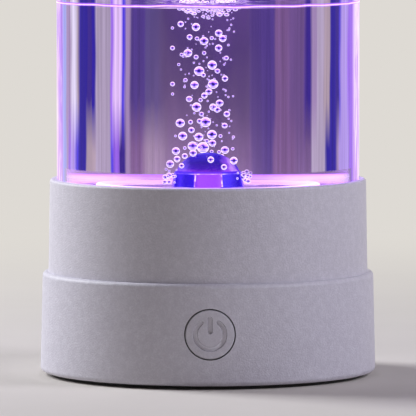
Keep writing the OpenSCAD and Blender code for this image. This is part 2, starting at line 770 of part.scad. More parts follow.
module top_cap() {
    color(shell_white)
    difference() {
        rotate_extrude($fn = 180) {
            polygon([[0, tube_top_z - skirt_l], [cap_r, tube_top_z - skirt_l], [cap_r, cap_top_z - cap_edge_r],
                     [cap_r - cap_edge_r, cap_top_z], [dish_d / 2, cap_top_z],
                     [dish_d / 2 - dish_depth, cap_top_z - dish_depth], [0, cap_top_z - dish_depth]]);
            corner(cap_r - cap_edge_r, cap_top_z - cap_edge_r, cap_edge_r, true);
        }
        translate([0, 0, tube_top_z - skirt_l - 1])
            cylinder(r = cap_r - skirt_wall, h = skirt_l + lid_gap + 1, $fn = 180);
        translate([0, 0, cap_under_z - eps])
            pipe(plug_r + glue_gap, plug_r - plug_wall - glue_gap, plug_seat + glue_gap + eps);
        for (i = [0 : vent_count - 1])
            rotate(360 * i / vent_count) translate([vent_r, 0, cap_under_z - 1])
                cylinder(d = vent_d, h = cap_t + 2, $fn = 48);
    }
}

// The ring under the cap that enters the tube, with the sealing ring's groove
module cap_plug() {
    color(shell_white)
    difference() {
        translate([0, 0, tube_top_z - plug_l])
            pipe(plug_r, plug_r - plug_wall, plug_l + lid_gap + plug_seat);
        translate([0, 0, oring_z - oring_w / 2 - seat_gap])
            pipe(plug_r + 1, oring_r - oring_w / 2, oring_w + 2 * seat_gap);
    }
}

module cap_seal() {
    color(silicone) translate([0, 0, oring_z]) rotate_extrude($fn = 180)
        translate([oring_r, 0]) circle(r = oring_w / 2 - eps, $fn = 48);
}

// ---------- lights ----------

module light_diffuser() {
    color([0.96, 0.94, 0.98]) translate([0, 0, shelf_z])
        pipe(tube_in_r - screw_clear, stem_nut_w / 2 / cos(30) + 1, diffuser_t);
}

module reflector_tray() {
    ear_z = shelf_under_z - tray_boss_h - tray_ear_t;
    color([0.97, 0.97, 0.97])
    difference() {
        union() {
            translate([0, 0, tray_z]) cylinder(r = tray_r, h = tray_h);
            intersection() {
                translate([0, 0, ear_z]) cylinder(r = bore_r - skirt_fit, h = tray_ear_t);
                for (a = post_angles)
                    rotate(a) translate([tray_r - tray_wall, -tray_ear_w / 2, ear_z])
                        cube([bore_r - tray_r + tray_wall, tray_ear_w, tray_ear_t]);
            }
        }
        translate([0, 0, tray_z + tray_wall]) cylinder(r = tray_r - tray_wall, h = tray_h);
        translate([0, 0, tray_z - 1]) cylinder(r = tray_hole_r, h = tray_wall + 2);
        translate([led_lead_start[0], led_lead_start[1], tray_z - 1])
            cylinder(d = lead_d + 2 * skirt_fit, h = tray_wall + 2, $fn = 32);
        around(post_angles, deck_screw_r) translate([0, 0, ear_z - 1])
            cylinder(d = small_screw_d + 2 * screw_clear, h = tray_ear_t + 2, $fn = 32);
    }
}

module tray_screws() {
    color(steel) around(post_angles, deck_screw_r)
        translate([0, 0, shelf_under_z - tray_boss_h - tray_ear_t])
            screw(small_screw_d, small_head_d, screw_head_h, tray_screw_l);
}

module led_board() {
    color("white") translate([0, 0, led_board_z]) pipe(led_board_r, led_board_hole_r, board_t);
}

module leds() {
    color([1, 0.98, 0.85]) for (i = [0 : led_count - 1])
        rotate(360 * (i + 0.5) / led_count)
            translate([led_ring_r - led_w / 2, -led_w / 2, led_board_z + board_t])
                difference() {
                    cube([led_w, led_w, led_t]);
                    translate([led_w / 2, led_w / 2, led_t * 0.75])
                        cylinder(d = led_w * 0.8, h = led_t, $fn = 24);
                }
}

// ---------- button and control board ----------

module power_button() {
    color(shell_white) union() {
        intersection() {
            lower_form();
            along_y(0, -base_r - 1, button_z) cylinder(d = button_d, h = base_r + 1 + flange_y + eps);
        }
        along_y(0, flange_y, button_z) cylinder(r = flange_r, h = flange_t);
        along_y(0, flange_back_y - eps, button_z) cylinder(d = button_stem_d, h = stem_l + eps, $fn = 48);
    }
}

module push_switch() {
    color(black)
    difference() {
        translate([-switch_w / 2, switch_y, button_z - switch_w / 2]) cube([switch_w, switch_t, switch_w]);
        along_y(0, switch_y - eps, button_z)
            cylinder(d = plunger_d + 2 * run_fit, h = plunger_in + button_travel + lid_gap, $fn = 48);
    }
}

module switch_plunger() {
    color([0.75, 0.7, 0.65]) along_y(0, plunger_y, button_z)
        cylinder(d = plunger_d, h = plunger_proud + plunger_in, $fn = 48);
}

module control_board() {
    color(board_green)
    difference() {
        translate([-board_w / 2, board_y, button_z - board_h / 2]) cube([board_w, board_t, board_h]);
        for (side = [-1, 1])
            along_y(side * board_boss_x, board_y - 1, button_z - side * board_boss_rise)
                cylinder(d = small_screw_d + 2 * screw_clear, h = board_t + 2, $fn = 32);
    }
}

module board_connectors() {
    places = [[-connector_x, -connector_low], [connector_x, connector_high], [0, connector_high]];
    color("ivory") for (p = places)
        translate([p[0] - connector_size[0] / 2, board_back_y, button_z + p[1] - connector_size[2] / 2])
            cube(connector_size);
}

module board_screws() {
    color(steel) for (side = [-1, 1])
        translate([side * board_boss_x, board_back_y, button_z - side * board_boss_rise]) rotate([90, 0, 0])
            screw(small_screw_d, small_head_d, board_screw_head_h, board_t + board_screw_bite);
}

// ---------- power inlet ----------

module dc_inlet() {
    mouth_y = pocket_y + inlet_flange_t;
    color(black) {
        difference() {
            union() {
                along_y(0, pocket_y, inlet_z) cylinder(d = inlet_flange_d, h = inlet_flange_t);
                along_y(0, pocket_y - barrel_l, inlet_z) cylinder(d = barrel_d, h = barrel_l + eps);
            }
            along_y(0, mouth_y - socket_depth, inlet_z) cylinder(d = socket_d, h = socket_depth + 1);
        }
        along_y(0, mouth_y - socket_depth - eps, inlet_z)
            cylinder(d = pin_d, h = socket_depth - pin_short + eps, $fn = 48);
        for (side = [-1, 1])
            translate([side * lug_w - lug_w / 2, pocket_y - barrel_l - lug_l, inlet_z - lug_t / 2])
                cube([lug_w, lug_l + eps, lug_t]);
    }
}

module inlet_nut() {
    color(steel) along_y(0, inlet_pad_y - inlet_nut_t, inlet_z)
        hex_nut(inlet_nut_w, barrel_d + 2 * glue_gap, inlet_nut_t);
}

// ---------- pump ----------

module pump_motor() {
    color(steel)
    difference() {
        along_x(motor_x, pump_y, pump_z) cylinder(d = motor_d, h = motor_l);
        along_x(motor_x - 1, pump_y, pump_z) cylinder(r = motor_in_r, h = motor_l - motor_end_t + 1);
        along_x(motor_x, pump_y, pump_z) cylinder(d = shaft_d + 2 * run_fit, h = motor_l + 1, $fn = 48);
    }
}

module motor_end_cap() {
    color(black)
    difference() {
        union() {
            along_x(motor_x - motor_end_t, pump_y, pump_z) cylinder(d = motor_d, h = motor_end_t);
            along_x(motor_x - eps, pump_y, pump_z) cylinder(r = motor_in_r - seat_gap, h = end_boss_l + eps);
            translate([motor_x - motor_end_t - terminal_l, pump_y - terminal_w, pump_z - terminal_w / 2])
                cube([terminal_l + eps, 2 * terminal_w, terminal_w]);
        }
        along_x(motor_x, pump_y, pump_z) cylinder(d = shaft_d + 2 * run_fit, h = end_boss_l + 1, $fn = 48);
    }
}

// Three poles on the shaft, parted by slots
module motor_armature() {
    armature_x = motor_x + end_boss_l + (motor_l - motor_end_t - end_boss_l - armature_l) / 2;
    color([0.45, 0.3, 0.2])
    difference() {
        along_x(armature_x, pump_y, pump_z) cylinder(r = armature_r, h = armature_l);
        along_x(armature_x - 1, pump_y, pump_z) {
            cylinder(d = shaft_d, h = armature_l + 2, $fn = 48);
            for (a = [0, 120, 240])
                rotate(a) translate([pole_core_r, -pole_slot_w / 2, 0])
                    cube([armature_r, pole_slot_w, armature_l + 2]);
        }
    }
}

module pump_crankcase() {
    side = motor_d;
    hollow_l = crankcase_l - 2 * crankcase_wall + 1;
    color([0.85, 0.85, 0.87])
    difference() {
        translate([crankcase_x, pump_y - side / 2, pump_z - side / 2]) cube([crankcase_l, side, side]);
        for (a = [0 : 90 : 270])
            translate([crankcase_x - 1, pump_y, pump_z]) rotate([a, 0, 0])
                translate([0, side / 2, side / 2]) rotate([45, 0, 0])
                    cube([2 * crankcase_l + 4, crankcase_cut, crankcase_cut], center = true);
        along_x(crankcase_x + crankcase_wall - 1, pump_y, pump_z)
            cylinder(d = side - 2 * crankcase_wall, h = hollow_l + 1);
        along_x(crankcase_x - 1, pump_y, pump_z) cylinder(d = shaft_d + 1, h = crankcase_wall + 1, $fn = 48);
    }
}

module pump_valve_cover() {
    color(black)
    difference() {
        union() {
            along_x(valve_cover_x, pump_y, pump_z) cylinder(d = motor_d - 2, h = valve_cover_l);
            along_x(pump_tail_x - eps, pump_y, pump_z) cylinder(d = tail_d, h = pump_tail_l + eps, $fn = 48);
        }
        along_x(valve_cover_x + 2, pump_y, pump_z)
            cylinder(d = tail_bore_d, h = valve_cover_l + pump_tail_l, $fn = 48);
    }
}

module pump_crank() {
    crank_x = crankcase_x + crankcase_wall;
    color("silver") {
        along_x(shaft_x, pump_y, pump_z)
            cylinder(d = shaft_d, h = crank_x - shaft_x + crank_t / 2, $fn = 48);
        along_x(crank_x, pump_y, pump_z) cylinder(d = crank_d, h = crank_t);
        along_x(crank_x + crank_t - eps, pump_y, pump_z + crank_throw)
            cylinder(d = shaft_d, h = crank_pin_l, $fn = 48);
    }
}

module pump_pad() {
    pad_w = motor_d * 0.8;
    color([0.25, 0.25, 0.27])
    difference() {
        translate([motor_x + 2, pump_y - pad_w / 2, plate_top_z])
            cube([motor_l + crankcase_l - 4, pad_w, 2 * pad_t]);
        along_x(motor_x, pump_y, pump_z) cylinder(r = motor_d / 2 + glue_gap, h = motor_l + 1);
        translate([crankcase_x - glue_gap, pump_y - motor_d, pump_z - motor_d / 2])
            cube([crankcase_l + 1, 2 * motor_d, motor_d]);
    }
}

module pump_strap() {
    inner = motor_d / 2 + glue_gap;
    outer = inner + strap_t;
    foot_z = plate_top_z + strap_boss_h;
    color(steel)
    difference() {
        union() {
            difference() {
                along_x(strap_x - strap_w / 2, pump_y, pump_z) cylinder(r = outer, h = strap_w);
                translate([strap_x - strap_w, pump_y - outer - 1, pump_z - 2 * outer])
                    cube([2 * strap_w, 2 * outer + 2, 2 * outer]);
            }
            for (side = [-1, 1]) {
                translate([strap_x - strap_w / 2, pump_y + (side > 0 ? inner : -outer), foot_z])
                    cube([strap_w, strap_t, pump_z - foot_z + eps]);
                translate([strap_x - strap_w / 2, pump_y + (side > 0 ? inner : -outer - strap_foot), foot_z])
                    cube([strap_w, strap_foot + strap_t, strap_t]);
            }
        }
        along_x(strap_x - strap_w, pump_y, pump_z) cylinder(r = inner, h = 2 * strap_w);
        for (side = [-1, 1])
            translate([strap_x, pump_y + side * strap_screw_y, foot_z - 1])
                cylinder(d = screw_d + 2 * screw_clear, h = strap_t + 2, $fn = 32);
    }
}

module strap_screws() {
    color(steel) for (side = [-1, 1])
        translate([strap_x, pump_y + side * strap_screw_y, plate_top_z + strap_boss_h + strap_t])
            rotate([180, 0, 0]) screw(screw_d, screw_head_d, screw_head_h, strap_t + strap_boss_h);
}

// ---------- air line and leads ----------

module check_valve() {
    shoulder = 2;
    color([0.9, 0.9, 0.92])
    difference() {
        along_x(valve_x - valve_l / 2, valve_y, pump_z) rotate_extrude()
            polygon([[0, -valve_tail_l], [tail_d / 2, -valve_tail_l], [tail_d / 2, 0],
                     [valve_d / 2 - shoulder, 0], [valve_d / 2, shoulder], [valve_d / 2, valve_l - shoulder],
                     [valve_d / 2 - shoulder, valve_l], [tail_d / 2, valve_l],
                     [tail_d / 2, valve_l + valve_tail_l], [0, valve_l + valve_tail_l]]);
        along_x(valve_x - valve_l / 2 - valve_tail_l - 1, valve_y, pump_z)
            cylinder(d = tail_bore_d, h = valve_l / 2 + valve_tail_l, $fn = 32);
        along_x(valve_x + 1, valve_y, pump_z)
            cylinder(d = tail_bore_d, h = valve_l / 2 + valve_tail_l, $fn = 32);
    }
}

module upper_hose() {
    color(silicone) hose(upper_hose_route);
}

module lower_hose() {
    color(silicone) hose(lower_hose_route);
}

module led_lead() {
    color("white") swept(led_lead_route, lead_d, 8);
}

module pump_lead() {
    color("red") swept(pump_lead_route, lead_d, 8);
}

module inlet_lead() {
    color(black) swept(inlet_lead_route, lead_d, 8);
}

foot_ring();
bottom_plate();
bottom_screws();
lower_housing();
collar_screws();
upper_collar();
tank_seal();
tank_tube();
tank_floor();
water();
nozzle_body();
nozzle_cap();
nozzle_gasket();
nozzle_nut();
top_cap();
cap_plug();
cap_seal();
light_diffuser();
reflector_tray();
tray_screws();
led_board();
leds();
power_button();
push_switch();
switch_plunger();
control_board();
board_connectors();
board_screws();
dc_inlet();
inlet_nut();
pump_motor();
motor_end_cap();
motor_armature();
pump_crankcase();
pump_valve_cover();
pump_crank();
pump_pad();
pump_strap();
strap_screws();
check_valve();
upper_hose();
lower_hose();
led_lead();
pump_lead();
inlet_lead();
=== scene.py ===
"""Bubble lamp: a two-tier moulded base, a clear tube of water over an air nozzle, and the pump and lights inside.

The pieces are dressed in the order in which the lamp is put together. Sizes are in millimetres unless a name says not.
"""
import math
import random

import bpy
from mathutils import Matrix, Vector, noise


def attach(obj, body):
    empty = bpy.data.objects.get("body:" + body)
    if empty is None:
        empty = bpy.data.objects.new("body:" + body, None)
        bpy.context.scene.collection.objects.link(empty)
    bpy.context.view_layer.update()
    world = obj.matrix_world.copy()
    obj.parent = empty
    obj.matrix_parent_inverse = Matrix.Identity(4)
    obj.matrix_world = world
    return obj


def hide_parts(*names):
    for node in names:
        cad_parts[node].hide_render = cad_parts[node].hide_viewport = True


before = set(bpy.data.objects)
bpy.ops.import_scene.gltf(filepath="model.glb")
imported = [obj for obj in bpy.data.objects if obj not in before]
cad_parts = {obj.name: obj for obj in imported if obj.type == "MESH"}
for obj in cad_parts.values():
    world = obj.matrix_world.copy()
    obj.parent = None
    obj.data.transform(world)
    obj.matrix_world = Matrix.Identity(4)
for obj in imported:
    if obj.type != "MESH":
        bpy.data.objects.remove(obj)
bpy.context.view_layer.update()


# -------------------- lower housing
# The wide lower half of the base is one injection moulding of white ABS, with the fine matte grain of an etched mould.
# It holds the pump and the boards, and the upper collar stands on its ledge.
def srgb(code, alpha=1.0):
    """Turns a hex colour into linear red, green, blue and alpha."""
    parts = [int(code[i : i + 2], 16) / 255 for i in (1, 3, 5)]
    return tuple(c / 12.92 if c <= 0.04045 else ((c + 0.055) / 1.055) ** 2.4 for c in parts) + (alpha,)


def link(mat, source, target):
    """Links to an input from the output given, or from the first output in use of the node given."""
    if isinstance(source, bpy.types.Node):
        source = next(out for out in source.outputs if out.enabled)
    mat.node_tree.links.new(source, target)


def put(mat, kind, inputs=None, stops=None, **settings):
    """Adds one node to a material, with its settings, its plain values and its links."""
    made = mat.node_tree.nodes.new("ShaderNode" + kind)
    for key, value in settings.items():
        setattr(made, key, value)
    if stops:
        row = made.color_ramp.elements
        while len(row) < len(stops):
            row.new(0.5)
        for point, (place, colour) in zip(row, stops):
            point.position = place
            point.color = srgb(colour) if isinstance(colour, str) else srgb(*colour)
    for key, value in (inputs or {}).items():
        if isinstance(value, (bpy.types.Node, bpy.types.NodeSocket)):
            link(mat, value, made.inputs[key])
        else:
            made.inputs[key].default_value = value
    return made


def finish(name, **sockets):
    """Starts a material with one surface shader, whose named sockets are set, and returns both."""
    mat = bpy.data.materials.new(name)
    mat.use_nodes = True
    mat.node_tree.nodes.clear()
    skin = put(mat, "BsdfPrincipled", {key.replace("_", " "): value for key, value in sockets.items()})
    put(mat, "OutputMaterial", {"Surface": skin})
    return mat, skin


def node_of(mat, kind):
    """The one node of that kind which a material holds."""
    return next(n for n in mat.node_tree.nodes if n.type == kind)


def place_mm(mat, stretch=(1, 1, 1)):
    """Object coordinates in millimetres, so that a pattern's scale is one over its real size."""
    where = put(mat, "TexCoord").outputs["Object"]
    return put(mat, "Mapping", {"Vector": where, "Scale": [1000 * s for s in stretch]})


def moulded(name, light, dark, rough, grain, relief, cloud=14.0, depth=0.1, **sockets):
    """Moulded plastic or rubber: two close tones in soft clouds, and an even grain in relief. The grain and the clouds
    are given by their size, and the grain's depth is a share of its size."""
    mat, skin = finish(name, Roughness=rough, IOR=1.5, **sockets)
    spot = place_mm(mat)
    drift = put(mat, "TexNoise", {"Vector": spot, "Scale": 1 / cloud, "Detail": 3.0})
    fine = put(mat, "TexNoise", {"Vector": spot, "Scale": 1 / grain, "Detail": 2.0})
    both = put(mat, "Math", {0: fine, 1: drift, 2: 0.1}, operation="MULTIPLY_ADD")
    tone = put(mat, "ValToRGB", {0: both}, stops=[(0.25, dark), (0.55, light)])
    link(mat, tone, skin.inputs["Base Color"])
    shine = put(mat, "MapRange", {0: fine, 1: 0.3, 2: 0.7, 3: rough - 0.05, 4: rough + 0.07})
    link(mat, shine, skin.inputs["Roughness"])
    bump = put(mat, "Bump", {"Strength": relief, "Distance": grain * depth / 1000, "Height": fine})
    link(mat, bump, skin.inputs["Normal"])
    return mat


def dress(mat, *nodes):
    """Puts a finish on CAD nodes, through their material slots."""
    for node in nodes:
        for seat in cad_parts[node].material_slots:
            seat.material = mat


# Etched grain is 0.1 mm on such a base, drawn at 0.5 mm so that it shows.
white_abs = moulded("moulded_white_abs", "#E4E2EC", "#D5D2DD", 0.5, 0.5, 1.0, cloud=2.0, depth=0.3)
dress(white_abs, "lower_housing")

button_z, gap_mid_r, gap_half, gap_fade = 18.0, 8.16, 0.14, 0.07


def shade_gap(mat):
    """Darkens the narrow gap round the power button, which the studio's light doesn't reach."""
    axis = put(mat, "Mapping", {"Vector": place_mm(mat, (1, 0, 1)), "Location": (0, 0, -button_z)})
    out = put(mat, "VectorMath", {0: axis}, operation="LENGTH")
    off = put(mat, "Math", {0: out, 1: gap_mid_r}, operation="SUBTRACT")
    off = put(mat, "Math", {0: off}, operation="ABSOLUTE")
    dark = put(mat, "MapRange", {0: off, 1: gap_half, 2: gap_half + gap_fade, 3: 0.97, 4: 0.0})
    base = node_of(mat, "BSDF_PRINCIPLED").inputs["Base Color"]
    tone = put(mat, "Mix", {0: dark, 6: base.links[0].from_socket, 7: srgb("#141114")}, data_type="RGBA")
    link(mat, tone, base)


shade_gap(white_abs)


# -------------------- upper collar
# The narrower upper half is a second moulding of the same white ABS, a touch warmer where it was run from another
# batch. It sits on the ledge, is screwed down from inside, and carries the tube in its bore.
# It has the housing's matte grain, with highlights as soft.
collar_abs = moulded("moulded_collar_abs", "#E4E1EB", "#D5D2DC", 0.5, 0.5, 1.0, cloud=2.0, depth=0.3)
dress(collar_abs, "upper_collar")


# -------------------- steel screws, nut and strap
# Zinc-plated steel screws hold the collar, tray, boards, strap and bottom plate, and a turned nut holds the nozzle.
# The plating is bright, with the fine rings that turning and rolling leave.
def plated(name, light, dark, rough, pitch, along=(1, 1, 1)):
    """Plated or brushed metal: fine lines of that pitch, across the stretched axis."""
    mat, skin = finish(name, Metallic=1.0, Roughness=rough)
    lines = put(mat, "TexNoise", {"Vector": place_mm(mat, along), "Scale": 1 / pitch, "Detail": 3.0})
    tone = put(mat, "ValToRGB", {0: lines}, stops=[(0.3, dark), (0.7, light)])
    link(mat, tone, skin.inputs["Base Color"])
    shine = put(mat, "MapRange", {0: lines, 1: 0.3, 2: 0.7, 3: rough - 0.08, 4: rough + 0.12})
    link(mat, shine, skin.inputs["Roughness"])
    bump = put(mat, "Bump", {"Strength": 0.25, "Distance": pitch * 1e-4, "Height": lines})
    link(mat, bump, skin.inputs["Normal"])
    return mat


zinc_plate = plated("zinc_plated_steel", "#D3D6DB", "#9FA3AB", 0.32, 0.3, (0.2, 0.2, 1.5))
dress(zinc_plate, "collar_screws", "tray_screws", "board_screws", "strap_screws", "bottom_screws", "pump_strap")


# -------------------- tank seal and nozzle gasket
# Flat rings punched from translucent silicone sheet. One lies on the collar's shelf under the tube, the other is
# pinched under the nozzle, and a third seals the cap's plug.
# The sheet is milky, with a dull soft gloss.
silicone = moulded("clear_silicone_rubber", "#D9DDE3", "#C4C9D2", 0.38, 0.6, 0.2, Sheen_Weight=0.1,
                   Subsurface_Weight=0.3, Subsurface_Scale=0.002)
dress(silicone, "tank_seal", "nozzle_gasket", "cap_seal")


# -------------------- tank tube
# A length of cast acrylic tube with a 3 mm wall, polished at both ends and cemented over the tank floor. Its upright
# streaks, violet and indigo between pale ones, are painted light and painted reflection: the lamp's light that runs up
# inside the wall, and the room that the wall mirrors and bends.
tube_r, wall_mid_r, bead_top_z, water_level_z = 50.0, 48.5, 64.7, 122.9
# Heights at which the streaks begin, change, and gather the foot's light, and between which the far wall darkens.
streaks_begin_z, change_from_z, change_to_z, lit_below_z, lit_full_z = 69.0, 77.0, 93.0, 86.0, 66.0
dusk_from_z, dusk_to_z = 36.0, 106.0
# The tones of the streaks, and how much of the view behind each covers.
streak_tones = {
    "violet": ("#9A62F2", 0.9), "fuchsia": ("#C890FA", 0.92), "sky": ("#A4ACF8", 0.92), "silver": ("#E4D8F8", 0.96),
    "lilac": ("#B498EE", 0.95), "mauve": ("#A88CBC", 0.88), "grey": ("#B8A6C6", 0.9), "beige": ("#B29CAC", 0.9),
    "indigo": ("#26129A", 0.99), "grape": ("#351E8C", 0.97), "royal": ("#4A36E4", 0.94), "beam": ("#E8C4FF", 0.97),
    "ink": ("#4A3488", 0.86), "slate": ("#504484", 0.8), "plum": ("#7C5890", 0.86), "smoke": ("#6C4E8A", 0.84),
    "clear": ("#5A4A70", 0.12), "haze": ("#A48EA8", 0.72),
}
# Where each streak begins and ends across the lamp, and its tone: at the tube's foot, and high up it.
left_foot = [
    (-50.0, -47.9, "fuchsia"), (-47.5, -46.9, "sky"), (-46.4, -45.9, "mauve"), (-45.6, -45.2, "violet"),
    (-44.9, -43.9, "lilac"), (-43.5, -42.9, "royal"), (-42.5, -40.2, "indigo"), (-39.8, -36.8, "beige"),
    (-36.4, -32.2, "grey"), (-31.7, -31.3, "royal"), (-30.8, -29.3, "violet"), (-28.9, -27.3, "grape"),
    (-26.8, -25.8, "mauve"), (-25.0, -21.8, "plum"), (-19.6, -15.0, "haze"), (-11.0, -8.0, "clear"),
]
left_high = [
    (-50.0, -47.9, "violet"), (-47.6, -46.9, "sky"), (-46.5, -45.2, "mauve"), (-44.8, -43.5, "silver"),
    (-43.1, -42.9, "beige"), (-42.4, -39.8, "indigo"), (-39.5, -38.2, "grape"), (-37.9, -36.8, "indigo"),
    (-36.5, -32.4, "grey"), (-31.9, -31.5, "violet"), (-31.0, -28.7, "beam"), (-28.2, -27.6, "royal"),
    (-27.1, -25.9, "mauve"), (-25.3, -21.0, "ink"), (-20.4, -16.8, "slate"), (-13.5, -10.0, "clear"),
]
right_foot = [
    (7.5, 8.5, "clear"), (11.5, 12.8, "smoke"), (14.0, 20.0, "ink"), (21.2, 27.6, "plum"), (28.4, 33.0, "smoke"),
    (33.4, 37.6, "grey"), (38.0, 41.6, "indigo"), (41.9, 42.3, "mauve"), (42.6, 45.4, "lilac"),
    (45.9, 47.4, "violet"), (47.8, 50.0, "fuchsia"),
]
right_high = [
    (10.0, 12.0, "clear"), (13.4, 20.9, "ink"), (21.5, 25.4, "plum"), (26.3, 30.6, "smoke"), (31.4, 33.0, "grape"),
    (33.4, 34.9, "mauve"), (35.2, 37.0, "grey"), (37.4, 39.1, "beige"), (39.5, 41.2, "indigo"), (41.5, 42.2, "grape"),
    (42.5, 42.8, "royal"), (43.1, 45.2, "lilac"), (45.6, 47.0, "violet"), (47.5, 50.0, "fuchsia"),
]
# Cast acrylic is clear and glossy. The studio is pale all round, so the wall's mirror is toned down, and the water's
# with it.
weak_mirror = (0.15, 0.15, 0.15, 1.0)
acrylic, clear = finish("cast_acrylic_tube", Base_Color=srgb("#F4F1FA"), Roughness=0.0, IOR=1.49,
                        Transmission_Weight=1.0, Specular_Tint=weak_mirror)
spot = place_mm(acrylic)
apart = put(acrylic, "SeparateXYZ", {0: spot})
# fine uneven lines, one or two millimetres apart, such as light drawn along a wall has
draw = put(acrylic, "Mapping", {"Vector": spot, "Scale": (0.9, 0.9, 0.012)})
fine = put(acrylic, "TexNoise", {"Vector": draw, "Scale": 1.0, "Detail": 4.0, "Roughness": 0.6})
sway = put(acrylic, "Mapping", {"Vector": spot, "Scale": (0.13, 0.13, 0.03)})
sway = put(acrylic, "TexNoise", {"Vector": sway, "Scale": 1.0, "Detail": 1.0})
shift = put(acrylic, "Math", {0: fine, 1: 0.9, 2: apart.outputs["X"]}, operation="MULTIPLY_ADD")
shift = put(acrylic, "Math", {0: sway, 1: 1.2, 2: shift}, operation="MULTIPLY_ADD")
mean_shift = 1.05  # what the two noises add on average
spread = put(acrylic, "MapRange", {0: shift, 1: -tube_r + mean_shift, 2: tube_r + mean_shift})
ramps = []
for streaks in (left_foot, left_high, right_foot, right_high):
    stops = [((mm / tube_r + 1) / 2, streak_tones[tone]) for begin, end, tone in streaks for mm in (begin, end)]
    ramps.append(put(acrylic, "ValToRGB", {0: spread}, stops=stops))
# the streaks change a third of the way up, at uneven heights
fray = put(acrylic, "MapRange", {0: fine, 1: 0.3, 2: 0.7, 3: -3.5, 4: 3.5})
fray = put(acrylic, "Math", {0: fray, 1: apart.outputs["Z"]}, operation="ADD")
high = put(acrylic, "MapRange", {0: fray, 1: change_from_z, 2: change_to_z})
right = put(acrylic, "Math", {0: spread, 1: 0.5}, operation="GREATER_THAN")
joined = []
for out, a, b, kind in (("Color", 6, 7, "RGBA"), ("Alpha", 2, 3, "FLOAT")):
    left_half, right_half = [
        put(acrylic, "Mix", {0: high, a: foot.outputs[out], b: top.outputs[out]}, data_type=kind)
        for foot, top in (ramps[:2], ramps[2:])
    ]
    joined.append(put(acrylic, "Mix", {0: right, a: left_half, b: right_half}, data_type=kind))
bands, covers = joined
# painted light: light gathers low in the tube, so the murky bands are painted paler towards the foot
low = put(acrylic, "MapRange", {0: apart.outputs["Z"], 1: lit_below_z, 2: lit_full_z, 3: 0.04, 4: 0.3})
murky = put(acrylic, "MapRange", {0: covers, 1: 0.875, 2: 0.8})
lift = put(acrylic, "Math", {0: low, 1: murky}, operation="MULTIPLY")
paler = put(acrylic, "Mix", {0: lift, 6: bands, 7: srgb("#C49AC0")}, data_type="RGBA", blend_type="SCREEN")
# painted highlight: where the wall turns away at the tube's two sides, its thickness gathers light, painted bright and
# speckled
rim = put(acrylic, "LayerWeight", {"Blend": 0.5})
flank = put(acrylic, "MapRange", {0: rim.outputs["Facing"], 1: 0.7, 2: 0.78, 3: 0.0, 4: 0.85})
grit = put(acrylic, "Mapping", {"Vector": spot, "Scale": (0.26, 0.26, 0.04)})
speck = put(acrylic, "TexNoise", {"Vector": grit, "Scale": 1.0, "Detail": 4.0, "Roughness": 0.6})
edge = put(acrylic, "ValToRGB", {0: speck}, stops=[(0.36, "#A060F0"), (0.5, "#D8A0FA"), (0.6, "#FFEAFF")])
glow = put(acrylic, "Mix", {0: flank, 6: paler, 7: edge}, data_type="RGBA")
# painted highlight: the water's edge, shining through the wall, is painted as a thin bright line
wave = put(acrylic, "Mapping", {"Vector": spot, "Scale": (0.045, 0.045, 0.0)})
wave = put(acrylic, "TexNoise", {"Vector": wave, "Scale": 1.0, "Detail": 2.0})
wave = put(acrylic, "Math", {0: wave, 1: 1.4, 2: apart.outputs["Z"]}, operation="MULTIPLY_ADD")
wave = put(acrylic, "MapRange", {0: wave, 1: water_level_z - 0.6, 2: water_level_z + 3.4})
shore = put(
    acrylic, "ValToRGB", {0: wave},
    stops=[(0.34, ("#8A4CF0", 0.0)), (0.39, ("#A458F4", 0.95)), (0.44, "#FFD8FF"), (0.49, "#F4A4FF"),
           (0.55, ("#7A3CE4", 0.95)), (0.63, ("#B890F0", 0.0))],
)
glow = put(acrylic, "Mix", {0: shore.outputs["Alpha"], 6: glow, 7: shore}, data_type="RGBA")
lines = put(acrylic, "MapRange", {0: fine, 1: 0.3, 2: 0.7, 3: 0.74, 4: 1.14})
lines = put(acrylic, "Math", {0: shore.outputs["Alpha"], 1: 0.5, 2: lines}, operation="MULTIPLY_ADD")
lit = put(acrylic, "BsdfPrincipled", {"Base Color": srgb("#14101E"), "Roughness": 0.06, "IOR": 1.49,
                                      "Specular IOR Level": 0.12, "Emission Color": glow, "Emission Strength": lines})
# painted light and shade: the far side of the wall, seen from within, is painted murky, dusky violet above, paler and
# warmer below
far = put(acrylic, "Mapping", {"Vector": spot, "Scale": (0.16, 0.16, 0.012)})
drift = put(acrylic, "TexNoise", {"Vector": far, "Scale": 1.0, "Detail": 3.0, "Roughness": 0.55})
height = put(acrylic, "Math", {0: drift, 1: -46.0, 2: apart.outputs["Z"]}, operation="MULTIPLY_ADD")
height = put(acrylic, "Math", {0: apart.outputs["X"], 1: 0.5, 2: height}, operation="MULTIPLY_ADD")
height = put(acrylic, "MapRange", {0: height, 1: dusk_from_z, 2: dusk_to_z})
dusk = put(
    acrylic, "ValToRGB", {0: height},
    stops=[(0.0, "#CCB2C4"), (0.22, "#A08A9A"), (0.45, "#6E5E74"), (0.7, "#4E3B6C"), (1.0, "#624588")],
)
# painted glow: the cement bead along the wall's foot is painted pink and glowing
bead = put(acrylic, "MapRange", {0: apart.outputs["Z"], 1: bead_top_z - 0.5, 2: bead_top_z, 3: 1.0, 4: 0.0})
dusk = put(acrylic, "Mix", {0: bead, 6: dusk, 7: srgb("#E6A4FC")}, data_type="RGBA")
behind = put(acrylic, "BsdfPrincipled", {"Base Color": srgb("#1A1424"), "Roughness": 0.3, "Specular IOR Level": 0.2,
                                         "Emission Color": dusk, "Emission Strength": 1.0})
